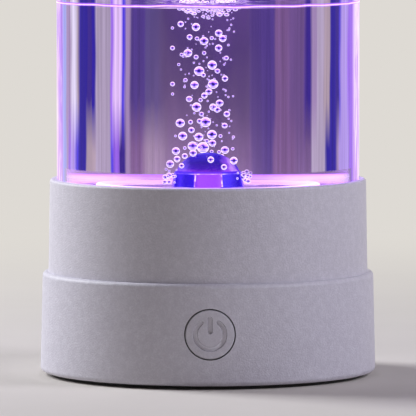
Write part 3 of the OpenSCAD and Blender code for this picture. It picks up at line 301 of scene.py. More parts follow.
# the streaks lie on the outer face only, begin a little above the base, and thin out where the wall is seen square on
face = put(acrylic, "MapRange", {0: rim.outputs["Facing"], 1: 0.02, 2: 0.085, 3: 0.35, 4: 1.0})
veil = put(acrylic, "Math", {0: covers, 1: face}, operation="MULTIPLY")
veil = put(acrylic, "Math", {0: veil, 1: shore.outputs["Alpha"]}, operation="MAXIMUM")
flat = put(acrylic, "VectorMath", {0: spot, 1: (1, 1, 0)}, operation="MULTIPLY")
reach = put(acrylic, "VectorMath", {0: flat}, operation="LENGTH")
outer = put(acrylic, "Math", {0: reach, 1: wall_mid_r}, operation="GREATER_THAN")
veil = put(acrylic, "Math", {0: veil, 1: outer}, operation="MULTIPLY")
begins = put(acrylic, "MapRange", {0: apart.outputs["Z"], 1: streaks_begin_z, 2: streaks_begin_z + 0.5})
brim = put(acrylic, "MapRange", {0: rim.outputs["Facing"], 1: 0.64, 2: 0.7})
begins = put(acrylic, "Math", {0: begins, 1: brim}, operation="MAXIMUM")
veil = put(acrylic, "Math", {0: veil, 1: begins}, operation="MULTIPLY")
near = put(acrylic, "MixShader", {0: veil, 1: clear, 2: lit})
inward = put(acrylic, "NewGeometry").outputs["Backfacing"]
hidden = put(acrylic, "Math", {0: inward, 1: outer}, operation="MULTIPLY")
hidden = put(acrylic, "Math", {0: hidden, 1: 0.94}, operation="MULTIPLY")
wall = put(acrylic, "MixShader", {0: hidden, 1: near, 2: behind})


def let_lamps_through(mat, shader, tint):
    """Lamps shine through clear plastic and water, so a shadow ray passes them with only a tint."""
    pane = put(mat, "BsdfTransparent", {"Color": srgb(tint)})
    ray = put(mat, "LightPath").outputs["Is Shadow Ray"]
    through = put(mat, "MixShader", {0: ray, 1: shader, 2: pane})
    link(mat, through, node_of(mat, "OUTPUT_MATERIAL").inputs["Surface"])


let_lamps_through(acrylic, wall, "#E9E2F6")
dress(acrylic, "tank_tube")


# -------------------- tank floor
# A disc of clear acrylic, cemented into the tube with a bead all round, and turned with one raised ring. The ring board
# under it floods it, and its pink and white glow is painted light.
# Lit from below, the turned disc is painted as rings of light, with little gloss, and painted brighter towards the
# sides.
middle_half, bright_half = 12.0, 43.0
floor_acrylic, skin = finish("lit_acrylic_floor", Base_Color=srgb("#C9A8E8"), Roughness=0.12, IOR=1.49)
spot = place_mm(floor_acrylic)
flat = put(floor_acrylic, "VectorMath", {0: spot, 1: (1, 1, 0)}, operation="MULTIPLY")
reach = put(floor_acrylic, "VectorMath", {0: flat}, operation="LENGTH")
blur = put(floor_acrylic, "TexNoise", {"Vector": spot, "Scale": 1 / 11.0, "Detail": 3.0})
swim = put(floor_acrylic, "Math", {0: blur, 1: 1.6, 2: reach}, operation="MULTIPLY_ADD")
ring = put(floor_acrylic, "MapRange", {0: swim, 1: 0.8, 2: 47.8})
tone = put(
    floor_acrylic, "ValToRGB", {0: ring},
    stops=[(0.2, "#B07CF4"), (0.36, "#E6B4FC"), (0.53, "#EAB8FC"), (0.575, "#F8D0FE"), (0.62, "#E2A8FA"),
           (0.76, "#F6D0FF"), (0.785, "#B070F2"), (0.81, "#E2A8FA"), (0.92, "#F4CCFF"), (0.94, "#FFF0FF"),
           (0.958, "#CE84F6"), (1.0, "#C47CF2")],
)
link(floor_acrylic, tone, skin.inputs["Emission Color"])
# painted light: the glow is painted stronger towards the two sides
side = put(floor_acrylic, "Math", {0: put(floor_acrylic, "SeparateXYZ", {0: spot})}, operation="ABSOLUTE")
strong = put(floor_acrylic, "MapRange", {0: side, 1: middle_half, 2: bright_half, 3: 1.45, 4: 2.9})
link(floor_acrylic, strong, skin.inputs["Emission Strength"])
dress(floor_acrylic, "tank_floor")


# -------------------- nozzle
# An eight-sided nozzle moulded in deep blue ABS, clamped through the tank floor, with a drilled dome pressed into it.
# Air leaves by the dome's fine holes. Its faces are painted with light where the floor's light strikes them.
def piece(name, verts, faces, body, like=None, stands_for=(), crease=35):
    """Makes a mesh piece from points in millimetres, smooth up to the crease angle, and lets it ride on a body."""
    mesh = bpy.data.meshes.new(name)
    mesh.from_pydata([(x / 1000, y / 1000, z / 1000) for x, y, z in verts], [], faces)
    mesh.shade_smooth()
    mesh.set_sharp_from_angle(angle=math.radians(crease))
    made = bpy.data.objects.new(name, mesh)
    bpy.context.scene.collection.objects.link(made)
    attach(made, body)
    if stands_for:
        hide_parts(*stands_for)
    return made


def skinned(rings, closed=True):
    """Faces over rings of points, given in order, with a fan over each end where they are closed."""
    count, verts, faces = len(rings[0]), [], []
    for ring in rings:
        verts += ring
    for i in range(len(rings) - 1):
        for j in range(count):
            k = (j + 1) % count
            faces.append((i * count + j, i * count + k, (i + 1) * count + k, (i + 1) * count + j))
    for at, flip in ((0, True), (len(rings) - 1, False)) if closed else ():
        ring = rings[at]
        verts.append(tuple(sum(p[axis] for p in ring) / count for axis in range(3)))
        for j in range(count):
            k = (j + 1) % count
            fan = (at * count + j, at * count + k, len(verts) - 1)
            faces.append(fan[::-1] if flip else fan)
    return verts, faces


nozzle_foot_z, nozzle_shoulder_z, nozzle_wide, nozzle_narrow, corner_r = 63.0, 68.2, 17.6, 16.2, 0.55
bore_r, tail_r, tail_end_z, shank_r, shank_end_z, sealed_z = 1.6, 2.5, 46.0, 5.0, 54.0, 63.05
first_turn = math.radians(22.5)


def eight_sided(wide, corner, z, points=4):
    """A ring of points round an eight-sided outline with rounded corners."""
    ring = []
    hub = (wide / 2 - corner) / math.cos(first_turn)
    for k in range(8):
        at = math.radians(22.5 + 45 * k)
        for i in range(points):
            a = at + math.radians(45 * (i / (points - 1) - 0.5))
            ring.append((hub * math.cos(at) + corner * math.cos(a), hub * math.sin(at) + corner * math.sin(a), z))
    return ring


def round_ring(r, z, count=32):
    """A ring of points whose first point lies where the eight-sided ring's does."""
    turns = [2 * math.pi * (j - 1.5) / count + first_turn for j in range(count)]
    return [(r * math.cos(a), r * math.sin(a), z) for a in turns]


stem = ((bore_r, tail_end_z), (tail_r, tail_end_z), (tail_r, shank_end_z), (shank_r, shank_end_z), (shank_r, sealed_z))
outlines = [(nozzle_wide - 0.5, 0.5, sealed_z), (nozzle_wide, corner_r, 63.3)]
for t in (0.3, 0.6, 0.83):
    up = nozzle_foot_z + (nozzle_shoulder_z - nozzle_foot_z) * t
    outlines.append((nozzle_wide - (nozzle_wide - nozzle_narrow) * t, corner_r, up))
outlines += [(16.36, corner_r, 67.56), (16.1, 0.5, 67.86), (15.75, 0.45, 68.08), (15.3, 0.45, 68.19)]
rings = [round_ring(r, z) for r, z in stem] + [eight_sided(*outline) for outline in outlines]
rings += [round_ring(7.2, 68.195), round_ring(1.0, 68.19)]
nozzle = piece("nozzle_head", *skinned(rings), "base", "blue_nozzle", ["nozzle_body"], crease=40)
# Deep blue ABS, painted with light: violet on its front faces, lighter and darker bands across its sides, and paler
# where its faces turn up. Under water its gloss is weak, so its IOR is taken against the water's.
blue_in_water = 1.13
nozzle_blue, skin = finish("moulded_blue_nozzle_abs", Base_Color=srgb("#1C0A88"), Roughness=0.22, IOR=blue_in_water,
                           Emission_Strength=1.15)
spot = place_mm(nozzle_blue)
apart = put(nozzle_blue, "SeparateXYZ", {0: spot})
blur = put(nozzle_blue, "TexNoise", {"Vector": spot, "Scale": 1 / 1.6, "Detail": 4.0, "Roughness": 0.6})
turn = put(nozzle_blue, "Math", {0: blur, 1: 1.3, 2: apart.outputs["X"]}, operation="MULTIPLY_ADD")
turn = put(nozzle_blue, "MapRange", {0: turn, 1: -8.35, 2: 9.65})
tone = put(
    nozzle_blue, "ValToRGB", {0: turn},
    stops=[(0.0, "#5A40D0"), (0.05, "#1C02B0"), (0.1, "#4A2CE0"), (0.16, "#1E04B8"), (0.29, "#2C0AC8"),
           (0.3, "#8A3AEC"), (0.36, "#B256F8"), (0.62, "#AC50F6"), (0.69, "#B868F8"), (0.7, "#5A46EE"),
           (0.82, "#4A34E4"), (0.93, "#1C06A8"), (1.0, "#4A30D8")],
)
slope = put(nozzle_blue, "SeparateXYZ", {0: put(nozzle_blue, "NewGeometry").outputs["Normal"]})
slope = put(nozzle_blue, "MapRange", {0: slope.outputs["Z"], 1: 0.3, 2: 0.5, 3: 0.0, 4: 0.8})
tone = put(nozzle_blue, "Mix", {0: slope, 6: tone, 7: srgb("#5A24E4")}, data_type="RGBA")
link(nozzle_blue, tone, skin.inputs["Emission Color"])
nozzle.data.materials.append(nozzle_blue)
# painted highlight: its broken edges catch the floor's light, painted as thin pale lines that turn deep blue towards
# the sides
edge_blue, skin = finish("lit_nozzle_edge", Base_Color=srgb("#5A3AD0"), Roughness=0.2, IOR=blue_in_water,
                         Emission_Strength=1.4)
spot = place_mm(edge_blue)
blur = put(edge_blue, "TexNoise", {"Vector": spot, "Scale": 1 / 1.5, "Detail": 3.0})
tone = put(edge_blue, "ValToRGB", {0: blur}, stops=[(0.36, "#8A4CF0"), (0.5, "#D8A0FA"), (0.6, "#FFE8FF")])
side = put(edge_blue, "Math", {0: put(edge_blue, "SeparateXYZ", {0: spot})}, operation="ABSOLUTE")
side = put(edge_blue, "MapRange", {0: side, 1: 3.9, 2: 5.2, 3: 0.0, 4: 0.85})
tone = put(edge_blue, "Mix", {0: side, 6: tone, 7: srgb("#3414CC")}, data_type="RGBA")
link(edge_blue, tone, skin.inputs["Emission Color"])
nozzle.data.materials.append(edge_blue)
for face in nozzle.data.polygons:
    up = 1000 * sum(nozzle.data.vertices[v].co.z for v in face.vertices) / len(face.vertices)
    on_shoulder, on_corner = 67.4 < up < 67.5, face.area < 1.3e-6 and 63.3 < up < 67.5  # area in square metres
    face.material_index = 1 if on_shoulder or on_corner else 0

# The dome is the same blue and smooth, and its light and shade are painted on, darker on top.
dome_blue, skin = finish("moulded_blue_dome_abs", Base_Color=srgb("#160670"), Roughness=0.16, IOR=blue_in_water,
                         Emission_Strength=1.1)
tilt = put(dome_blue, "SeparateXYZ", {0: put(dome_blue, "NewGeometry").outputs["Normal"]})
blur = put(dome_blue, "TexNoise", {"Vector": place_mm(dome_blue), "Scale": 1 / 3.0, "Detail": 3.0})
rise = put(dome_blue, "Math", {0: blur, 1: 0.3, 2: tilt.outputs["Z"]}, operation="MULTIPLY_ADD")
rise = put(dome_blue, "MapRange", {0: rise, 1: 0.15, 2: 1.15})
tone = put(
    dome_blue, "ValToRGB", {0: rise},
    stops=[(0.1, "#1A02A0"), (0.24, "#8A28DC"), (0.36, "#4208B0"), (0.6, "#1E0288"), (0.85, "#2A12B8"),
           (1.0, "#4834D8")],
)
# painted highlights: the floor's light catches its two shoulders, more on the right
turn = put(dome_blue, "Math", {0: blur, 1: 0.5, 2: tilt.outputs["X"]}, operation="MULTIPLY_ADD")
turn = put(dome_blue, "MapRange", {0: turn, 1: -0.75, 2: 1.25})
caught = put(
    dome_blue, "ValToRGB", {0: turn},
    stops=[(0.0, "#4A34D8"), (0.08, "#7A62EA"), (0.22, "#000000"), (0.7, "#000000"), (0.82, "#A05AE8"),
           (0.88, "#DCA8FC"), (0.96, "#2A0CB0")],
)
tone = put(dome_blue, "Mix", {0: 1.0, 6: tone, 7: caught}, data_type="RGBA", blend_type="SCREEN")
link(dome_blue, tone, skin.inputs["Emission Color"])
dress(dome_blue, "nozzle_cap")
# The nut is warm bright nickel, with turned rings.
dress(plated("turned_nickel_nut", "#CFCAC0", "#A29C90", 0.3, 0.25, (0.3, 0.3, 2.0)), "nozzle_nut")


# -------------------- lights under the floor
# Twelve white packages are soldered round a white ring board in a glossy white tray, and an opal acrylic sheet over
# them spreads the light.
# The opal sheet is smooth and milky, with an even glow painted on as light, and the tray is glossy.
opal = moulded("opal_acrylic_sheet", "#F1ECF7", "#E7E0F2", 0.3, 1.2, 0.05, Subsurface_Weight=0.5,
               Subsurface_Scale=0.003, Emission_Color=srgb("#D7A8F6"), Emission_Strength=0.6)
dress(opal, "light_diffuser")
dress(moulded("glossy_white_tray", "#F0F0F1", "#E6E6E8", 0.22, 0.8, 0.08), "reflector_tray")

# White solder mask is satin, with paler tracks under it.
ring_board, skin = finish("white_solder_mask", Roughness=0.4, IOR=1.5)
weave = put(ring_board, "TexBrick", {"Vector": place_mm(ring_board), "Color1": srgb("#EFEEE9"),
                                     "Color2": srgb("#E4E3DC"), "Mortar": srgb("#C9CBBE"), "Scale": 0.25,
                                     "Mortar Size": 0.05})
link(ring_board, weave, skin.inputs["Base Color"])
dress(ring_board, "led_board")

# Each package is pale yellow with phosphor, and lit.
package, skin = finish("moulded_light_package", Roughness=0.25, IOR=1.52, Emission_Color=srgb("#B070FF"),
                       Emission_Strength=2.0)
cells = put(package, "TexNoise", {"Vector": place_mm(package), "Scale": 1 / 0.8, "Detail": 2.0})
tone = put(package, "ValToRGB", {0: cells}, stops=[(0.35, "#E8DCA8"), (0.65, "#F6F2E2")])
link(package, tone, skin.inputs["Base Color"])
dress(package, "leds")


# -------------------- air pump
# A small motor in a drawn steel can turns a crank in a moulded crankcase, which pumps air through a valve cover. It
# lies in soft foam under a steel strap, so that it runs quietly.
# Drawn steel shows long lines along the can, and its nylon end is ivory and satin.
dress(plated("drawn_steel_can", "#C2C4C9", "#8C8F96", 0.3, 0.35, (0.08, 1.0, 1.0)), "pump_motor")
dress(moulded("moulded_nylon_end_cap", "#DAD9D2", "#C8C6BD", 0.48, 0.6, 0.2), "motor_end_cap")

# The iron's thin sheets show as lines, brown with varnish.
lamination, skin = finish("varnished_iron_laminations", Metallic=1.0, Roughness=0.45)
sheets = put(lamination, "TexWave", {"Vector": place_mm(lamination), "Scale": 0.32, "Distortion": 0.3},
             bands_direction="X").outputs["Fac"]
tone = put(lamination, "ValToRGB", {0: sheets}, stops=[(0.2, "#5A3A22"), (0.7, "#A0683C")])
link(lamination, tone, skin.inputs["Base Color"])
bump = put(lamination, "Bump", {"Strength": 0.4, "Distance": 0.0001, "Height": sheets})
link(lamination, bump, skin.inputs["Normal"])
dress(lamination, "motor_armature")

# Ground steel is bright with fine cross lines, and the grey mouldings are satin.
dress(plated("ground_steel_shaft", "#D0D2D6", "#A5A8AE", 0.22, 0.2, (2.0, 0.2, 0.2)), "pump_crank")
dress(moulded("moulded_grey_pump_abs", "#CDCDD2", "#BDBDC4", 0.5, 0.5, 0.4), "pump_crankcase")
dress(moulded("moulded_valve_cover_abs", "#D5D5DA", "#C3C3CA", 0.46, 0.5, 0.4), "pump_valve_cover")

# Foam is dull and full of black pores.
foam, skin = finish("black_cell_foam", Roughness=0.92, IOR=1.5)
cells = put(foam, "TexVoronoi", {"Vector": place_mm(foam), "Scale": 1 / 0.9})
tone = put(foam, "ValToRGB", {0: cells}, stops=[(0.1, "#141416"), (0.6, "#35363A")])
link(foam, tone, skin.inputs["Base Color"])
bump = put(foam, "Bump", {"Strength": 0.8, "Distance": 0.0005, "Height": cells}, invert=True)
link(foam, bump, skin.inputs["Normal"])
dress(foam, "pump_pad")


# -------------------- check valve and air hoses
# Clear silicone hose runs from the pump to a moulded check valve and on up to the nozzle's barb. The valve keeps the
# water out of the pump.
# Both are clear and pale: the hose milky and soft, the valve smooth and glossy.
hose = moulded("extruded_silicone_hose", "#DCE0E6", "#C9CFD8", 0.3, 0.9, 0.1, Sheen_Weight=0.1,
               Subsurface_Weight=0.4, Subsurface_Scale=0.002)
dress(hose, "upper_hose", "lower_hose")
valve = moulded("clear_moulded_valve", "#E3E6EA", "#D2D6DC", 0.15, 1.0, 0.05, Subsurface_Weight=0.3,
                Subsurface_Scale=0.002)
dress(valve, "check_valve")


# -------------------- control board and its switch
# Green glass-epoxy board with tinned tracks under the mask. It carries the push switch behind the button and three
# nylon connectors, and two screws hold it to its bosses.
# Green solder mask is satin, with the tracks raised and paler under it. The board stands upright, so their pattern is
# turned up to its face.
glass_epoxy, skin = finish("green_solder_mask", Roughness=0.35, IOR=1.5)
upright = put(glass_epoxy, "Mapping", {"Vector": place_mm(glass_epoxy, (1, 0.01, 1)), "Rotation": (1.5708, 0, 0)})
tracks = put(glass_epoxy, "TexBrick", {"Vector": upright, "Color1": srgb("#0F5B33"), "Color2": srgb("#14683B"),
                                       "Mortar": srgb("#2E8C57"), "Scale": 0.4, "Mortar Size": 0.035})
link(glass_epoxy, tracks, skin.inputs["Base Color"])
bump = put(glass_epoxy, "Bump", {"Strength": 0.3, "Distance": 0.00005, "Height": tracks.outputs["Fac"]})
link(glass_epoxy, bump, skin.inputs["Normal"])
dress(glass_epoxy, "control_board")
# The connectors are ivory nylon, and the switch is satin black with a beige plunger.
dress(moulded("moulded_nylon_connector", "#ECE8DA", "#DDD8C6", 0.42, 0.5, 0.2), "board_connectors")
dress(moulded("moulded_black_abs", "#1B1B1D", "#121214", 0.5, 0.4, 0.4), "push_switch")
dress(moulded("moulded_switch_plunger", "#C9BFB0", "#B7AC9B", 0.4, 0.4, 0.2), "switch_plunger")


# -------------------- power button
# A round button of the housing's own ABS, pushed in from behind up to its flange. Its face carries on the curve of the
# housing, with a power sign cut 0.85 mm deep and all edges broken.
button_r, face_edge, shell_foot_r, shell_foot_z, shell_lean = 8.0, 0.45, 55.5, 1.2, 0.0212
sign_r, sign_half, sign_gap = 4.77, 0.68, math.radians(37)
bar_low, bar_high, bar_half, cut_depth, cut_slope = 0.95, 4.95, 0.72, 0.85, 0.26
flange_r, flange_front, flange_back, stem_r, stem_end = 9.5, -51.13, -49.93, 2.5, -48.43


def cut_at(x, up):
    """How deep the power sign is cut at a point of the button's face."""
    r, lean = math.hypot(x, up), math.atan2(x, up)
    if abs(lean) > sign_gap:
        off_ring = abs(r - sign_r)
    else:
        tip = (math.copysign(math.sin(sign_gap), x) * sign_r, math.cos(sign_gap) * sign_r)
        off_ring = math.hypot(x - tip[0], up - tip[1])
    off_bar = math.hypot(x, up - min(max(up, bar_low), bar_high))
    inside = max(sign_half - off_ring, bar_half - off_bar)
    t = min(max(inside / cut_slope + 0.5, 0), 1)
    return cut_depth * t * t * (3 - 2 * t)


def turns(count):
    """Angles spaced evenly round a circle."""
    return [2 * math.pi * j / count for j in range(count)]


around = 256
radii = [0.1 * i for i in range(1, 77)] + [7.7, 7.78, 7.86, 7.92, 7.97, button_r]
rings = []
for r in radii:
    past = max(r - (button_r - face_edge), 0)
    drop = face_edge - math.sqrt(max(face_edge**2 - past**2, 0))
    ring = []
    for a in turns(around):
        x, up = r * math.cos(a), r * math.sin(a)
        shell_r = shell_foot_r - shell_lean * (button_z + up - shell_foot_z)
        ring.append((x, -math.sqrt(shell_r**2 - x * x) + drop + cut_at(x, up), button_z + up))
    rings.append(ring)
for r, y in (
    (button_r, flange_front), (flange_r, flange_front), (flange_r, flange_back), (stem_r, flange_back),
    (stem_r, stem_end),
):
    rings.append([(r * math.cos(a), y, button_z + r * math.sin(a)) for a in turns(around)])
button = piece("power_button_face", *skinned(rings), "button", "white_button", ["power_button"])
# The button has the housing's white, with a slightly finer grain.
button_abs = moulded("moulded_button_abs", "#E3E1EA", "#D3D0DA", 0.48, 0.4, 0.5, cloud=2.4, depth=0.24)
shade_gap(button_abs)
button.data.materials.append(button_abs)
# the mould's punch is polished, so the floor of the sign is smoother; its paler tone is painted light
button.data.materials.append(moulded("polished_cut_painted_light_abs", "#F2F0F8", "#E8E6F0", 0.36, 0.4, 0.2))
# its steep sides hold the shade that so narrow a cut has
button.data.materials.append(moulded("shaded_cut_abs", "#A8A2AC", "#9A949E", 0.5, 0.4, 0.2))
for face in button.data.polygons:
    if face.index < (len(radii) - 1) * around:
        share = cut_at(face.center.x * 1000, face.center.z * 1000 - button_z) / cut_depth
        face.material_index = 1 if share > 0.8 else 2 if share > 0.2 else 0


# -------------------- power inlet
# A round inlet of black nylon passes out through the back of the housing and is held by a nut from inside. Its socket
# goes round a tinned pin.
# The nylon is black and a little glossy, and the stamped nut is bright with fine scratches.
dress(moulded("moulded_black_inlet", "#19191B", "#101012", 0.34, 0.5, 0.2), "dc_inlet")
dress(plated("stamped_steel_nut", "#C9CBD0", "#94979E", 0.36, 0.3, (1.0, 0.2, 1.0)), "inlet_nut")


# -------------------- leads
# Pairs of PVC-covered leads, white to the lights, red to the pump and black to the inlet, pushed into the board's
# connectors and soldered at their far ends.
# PVC is smooth, with a soft gloss.
for lead, light, dark in (
    ("led_lead", "#DDDDDD", "#CFCFD1"), ("pump_lead", "#B3171B", "#9C1216"), ("inlet_lead", "#1D1D1F", "#131315"),
):
    dress(moulded("pvc_cover_" + lead, light, dark, 0.4, 0.7, 0.15), lead)


# -------------------- bottom plate and foot ring
# The bottom plate is moulded in black ABS and screwed up into the housing, with slots for the pump's air. A ring of
# black rubber in its groove keeps the lamp from sliding.
# The plate has a coarse matte grain, and the rubber is duller, with a faint sheen where it turns away.
dress(moulded("moulded_black_plate", "#1C1B1E", "#131214", 0.55, 0.6, 0.5), "bottom_plate")
dress(moulded("moulded_black_rubber", "#18181A", "#0F0F10", 0.72, 0.5, 0.3, Sheen_Weight=0.15), "foot_ring")


# -------------------- water
# Tap water fills the tube to a little above the middle. Its surface is ruffled where the bubbles break, and climbs a
# millimetre up the wall. Violet light in it is painted as a glow in its body, and fades with depth.
water_r, water_foot_z, water_ior = 46.93, 63.06, 1.333


def ripple(x, y):
    """Height of the surface over its level: a low mound over the nozzle, rings that die away, and a rise at the
    wall."""
    r = math.hypot(x, y)
    mound = 0.9 * math.exp(-((r / 9.0) ** 2))
    rings_out = 0.32 * math.cos(r * 0.75 - 1.0) * math.exp(-r / 26.0)
    uneven = 0.45 * noise.noise(Vector((x / 9.0, y / 9.0, 1.7))) + 0.2 * noise.noise(Vector((x / 3.5, y / 3.5, 6.1)))
    climb = 1.0 * math.exp(-(water_r - r) / 0.9)
    return mound + rings_out + uneven * (1 - math.exp(-(water_r - r) / 3.0)) + climb


def circle(r, z, rise=lambda x, y: 0.0):
    """A ring of points round the tank, at that height or with a rise over it."""
    flat = [(r * math.cos(a), r * math.sin(a)) for a in turns(144)]
    return [(x, y, z + rise(x, y)) for x, y in flat]


steps = [0.6 * i for i in range(1, 74)] + [44.5, 45.2, 45.8, 46.2, 46.5, 46.75, water_r]
rings = [circle(r, water_foot_z) for r in (0.5, 15.0, 30.0, water_r)]
rings += [circle(water_r, z) for z in (75.0, 90.0, 105.0, 118.0)]
rings += [circle(r, water_level_z, ripple) for r in reversed(steps)]
tank_water = piece("tank_water", *skinned(rings), "base", "water", ["water"], crease=60)
# Water is clear and smooth, and bends what is seen through it.
water, skin = finish("clear_water", Base_Color=srgb("#FFFFFF"), Roughness=0.0, IOR=water_ior,
                     Transmission_Weight=1.0, Specular_Tint=weak_mirror)
spot = place_mm(water)
# the top is ruffled, and the sides lie smooth against the wall
up = put(water, "SeparateXYZ", {0: put(water, "NewGeometry").outputs["Normal"]}).outputs["Z"]
swell = put(water, "TexNoise", {"Vector": spot, "Scale": 1 / 5.0, "Detail": 2.0})
swell = put(water, "Math", {0: swell, 1: up}, operation="MULTIPLY")
bump = put(water, "Bump", {"Strength": 0.15, "Distance": 0.0005, "Height": swell})
link(water, bump, skin.inputs["Normal"])
# painted light: the top shows the lamp's light, painted in pale and violet streaks
top = put(water, "MapRange", {0: up, 1: 0.6, 2: 0.9, 3: 0.0, 4: 0.75})
waves = put(water, "TexNoise", {"Vector": spot, "Scale": 1 / 8.0, "Detail": 3.0, "Distortion": 0.8})
tone = put(
    water, "ValToRGB", {0: waves},
    stops=[(0.38, "#4E3494"), (0.46, "#7A50CC"), (0.52, "#C898F6"), (0.55, "#FBE8FF"), (0.6, "#8E5CDC"),
           (0.7, "#553A9C")],
)
sparkle = put(water, "BsdfPrincipled", {"Base Color": srgb("#1C1430"), "Roughness": 0.05, "IOR": water_ior,
                                        "Emission Color": tone, "Emission Strength": 1.0})
let_lamps_through(water, put(water, "MixShader", {0: top, 1: skin, 2: sparkle}), "#FFFFFF")
# painted glow: violet light through the water's body, faded with depth by its absorption
fade = put(water, "VolumeAbsorption", {"Color": srgb("#C8B0E0"), "Density": 12.0})
shine = put(water, "Emission", {"Color": srgb("#8A58C0"), "Strength": 1.2})
murk = put(water, "AddShader", {0: fade, 1: shine})
link(water, murk, node_of(water, "OUTPUT_MATERIAL").inputs["Volume"])
tank_water.data.materials.append(water)


# -------------------- water's edge
# Where the water climbs the wall its edge gathers the light, painted as a bright line right round the tube.
profile = [(46.95, -0.25), (46.955, 1.0), (46.5, 0.55), (45.9, 0.2), (45.2, 0.0), (46.0, -0.25)]
calm_r = 44  # the edge rises and falls with the ripples just inside it
swells = [ripple(x, y) * 0.8 for x, y, _ in circle(calm_r, 0.0)]
rings = []
for r, up in profile + profile[:1]:
    rings.append([(x, y, z + swell) for (x, y, z), swell in zip(circle(r, water_level_z + up), swells)])
edge_ring = piece("water_edge", *skinned(rings, closed=False), "base", "water", crease=60)
# Its painted light is bright in the middle and violet above and below.
gleam, skin = finish("lit_water_edge", Base_Color=srgb("#7A50C0"), Roughness=0.1, IOR=water_ior,
                     Emission_Strength=0.8)
spot = place_mm(gleam)
apart = put(gleam, "SeparateXYZ", {0: spot})
uneven = put(gleam, "TexNoise", {"Vector": spot, "Scale": 1 / 9.0, "Detail": 3.0})
rise = put(gleam, "Math", {0: uneven, 1: 1.3, 2: apart.outputs["Z"]}, operation="MULTIPLY_ADD")
rise = put(gleam, "MapRange", {0: rise, 1: water_level_z, 2: water_level_z + 2.0})
tone = put(
    gleam, "ValToRGB", {0: rise},
    stops=[(0.1, "#C07CF6"), (0.28, "#FFE8FF"), (0.5, "#D6A2FA"), (0.72, "#8450DC"), (1.0, "#C794F6")],
)
link(gleam, tone, skin.inputs["Emission Color"])
edge_ring.data.materials.append(gleam)


# -------------------- bubbles
# Air bubbles rise from the nozzle in a loose column and break in a froth on the surface. Each shines with a painted
# reflection along its edge, and a painted dark line crosses it. Water in a round tube widens them, so they are made
# a quarter narrower than they look.
mid_px, eye_px = 208, 5735.0  # the view's middle, and the lens in pixels
eye_away, eye_z = 1900.0, 55.0  # how far off the camera stands, and the height that it is aimed at
eye_turn, eye_rise = math.radians(-0.69), math.radians(4.1)
px_per_mm = eye_px / eye_away  # at the lamp's middle
seen = [  # across, down and radius in the photograph's pixels
    (180, 24, 3.2), (195.5, 27, 4.2), (189, 37, 2.9), (197, 38.5, 2.1), (204, 41, 4.2), (212, 38, 2), (219, 33, 3.7),
    (223, 38.5, 3.7), (171.5, 28, 1.6), (171.5, 48, 2.4), (187.5, 53, 4.2), (181, 54.6, 1.9), (196, 57, 2.4),
    (204, 53, 2.1), (218.6, 48, 3.7), (228.6, 45, 1.3), (227, 58, 2.4), (212, 65, 4.8), (178, 64.5, 1.6),
    (199, 71, 5), (203, 75, 2.4), (218, 71, 2.6), (225, 78.5, 3.2), (185, 80, 2.1), (171.6, 84, 2.4), (194, 85, 4.2),
    (213.5, 84, 5), (184, 87, 1.3), (171.6, 94, 1.6), (209, 91.5, 3.4), (204, 95.5, 3.2), (189, 99, 3.2),
    (200.5, 100, 2.1), (220.4, 103, 3.7), (196, 107, 4.8), (213, 107, 3.7), (217.5, 109.5, 3.2), (229, 97, 1.2),
    (227, 114, 3.2), (201.6, 114, 2.4), (179.6, 123, 4.5), (190, 122, 2.4), (199, 121, 2.6), (205.6, 122, 5.3),
    (225, 125.5, 2.9), (232, 121, 1.1), (191, 130, 3.2), (182, 136, 4.5), (174.5, 136, 1.3), (198.4, 137, 4.5),
    (212, 134.5, 4.8), (221, 136, 1.9), (234, 137, 1.6), (207, 141, 2.1), (212.5, 143, 3.7), (192.5, 146, 4.8),
    (203, 147.5, 5.8), (175, 151, 4), (192.5, 153, 3.7), (184, 148, 1.8), (184, 156, 3), (225.7, 150, 4),
    (233.7, 148.8, 1.7), (212, 151.4, 1.8), (219, 152, 2), (222.7, 156, 2), (176, 159, 3.4), (169, 164, 4.1),
    (233.8, 160.6, 4), (167.8, 175.5, 3.2), (163.5, 182, 2.4), (168, 182, 2.2), (168, 171, 1.3), (243.3, 177, 3.4),
    (238, 173, 1.2), (237.5, 178.5, 1.2),
]
on_dome = [(180.7, 165.7, 2.7), (210.5, 159.6, 3.4), (224, 167, 3)]
nozzle_top_px, nozzle_half_px, before_nozzle, before_dome = 158, 32, -9.6, -7.4
column_r, speck_r, froth_r, froth_top, froth_deep = 9.5, 6.8, 9.2, 0.8, 5.2
bubble_flat_by, froth_flat_by = 0.95, 0.6  # height over width
speck_count, speck_foot_z, speck_rise, froth_count = 150, 75, 48, 360
cling_count, cling_from_r, cling_to_r, cling_foot_z, cling_rise = 11, 9.3, 11.2, 64.0, 4.8
chance = random.Random(41)


def sit(px, down, depth):
    """The place in the tank, at that depth behind the middle, that shows at a point of the photograph."""
    fall = eye_rise - math.atan((mid_px - down) / eye_px)
    at_wall = eye_z + eye_away * math.sin(eye_rise) - (eye_away * math.cos(eye_rise) - tube_r) * math.tan(fall)
    inside = math.tan(math.asin(math.sin(fall) / water_ior))
    across_wall = (px - mid_px) / eye_px * (eye_away - tube_r)
    narrower = 1 - (1 - 1 / water_ior) * (depth + tube_r) / tube_r
    return across_wall * narrower, depth, at_wall - (depth + tube_r) * inside


def round_at(a, r, z):
    """The place at that angle and radius round the tank's middle."""
    return r * math.cos(a), r * math.sin(a), z


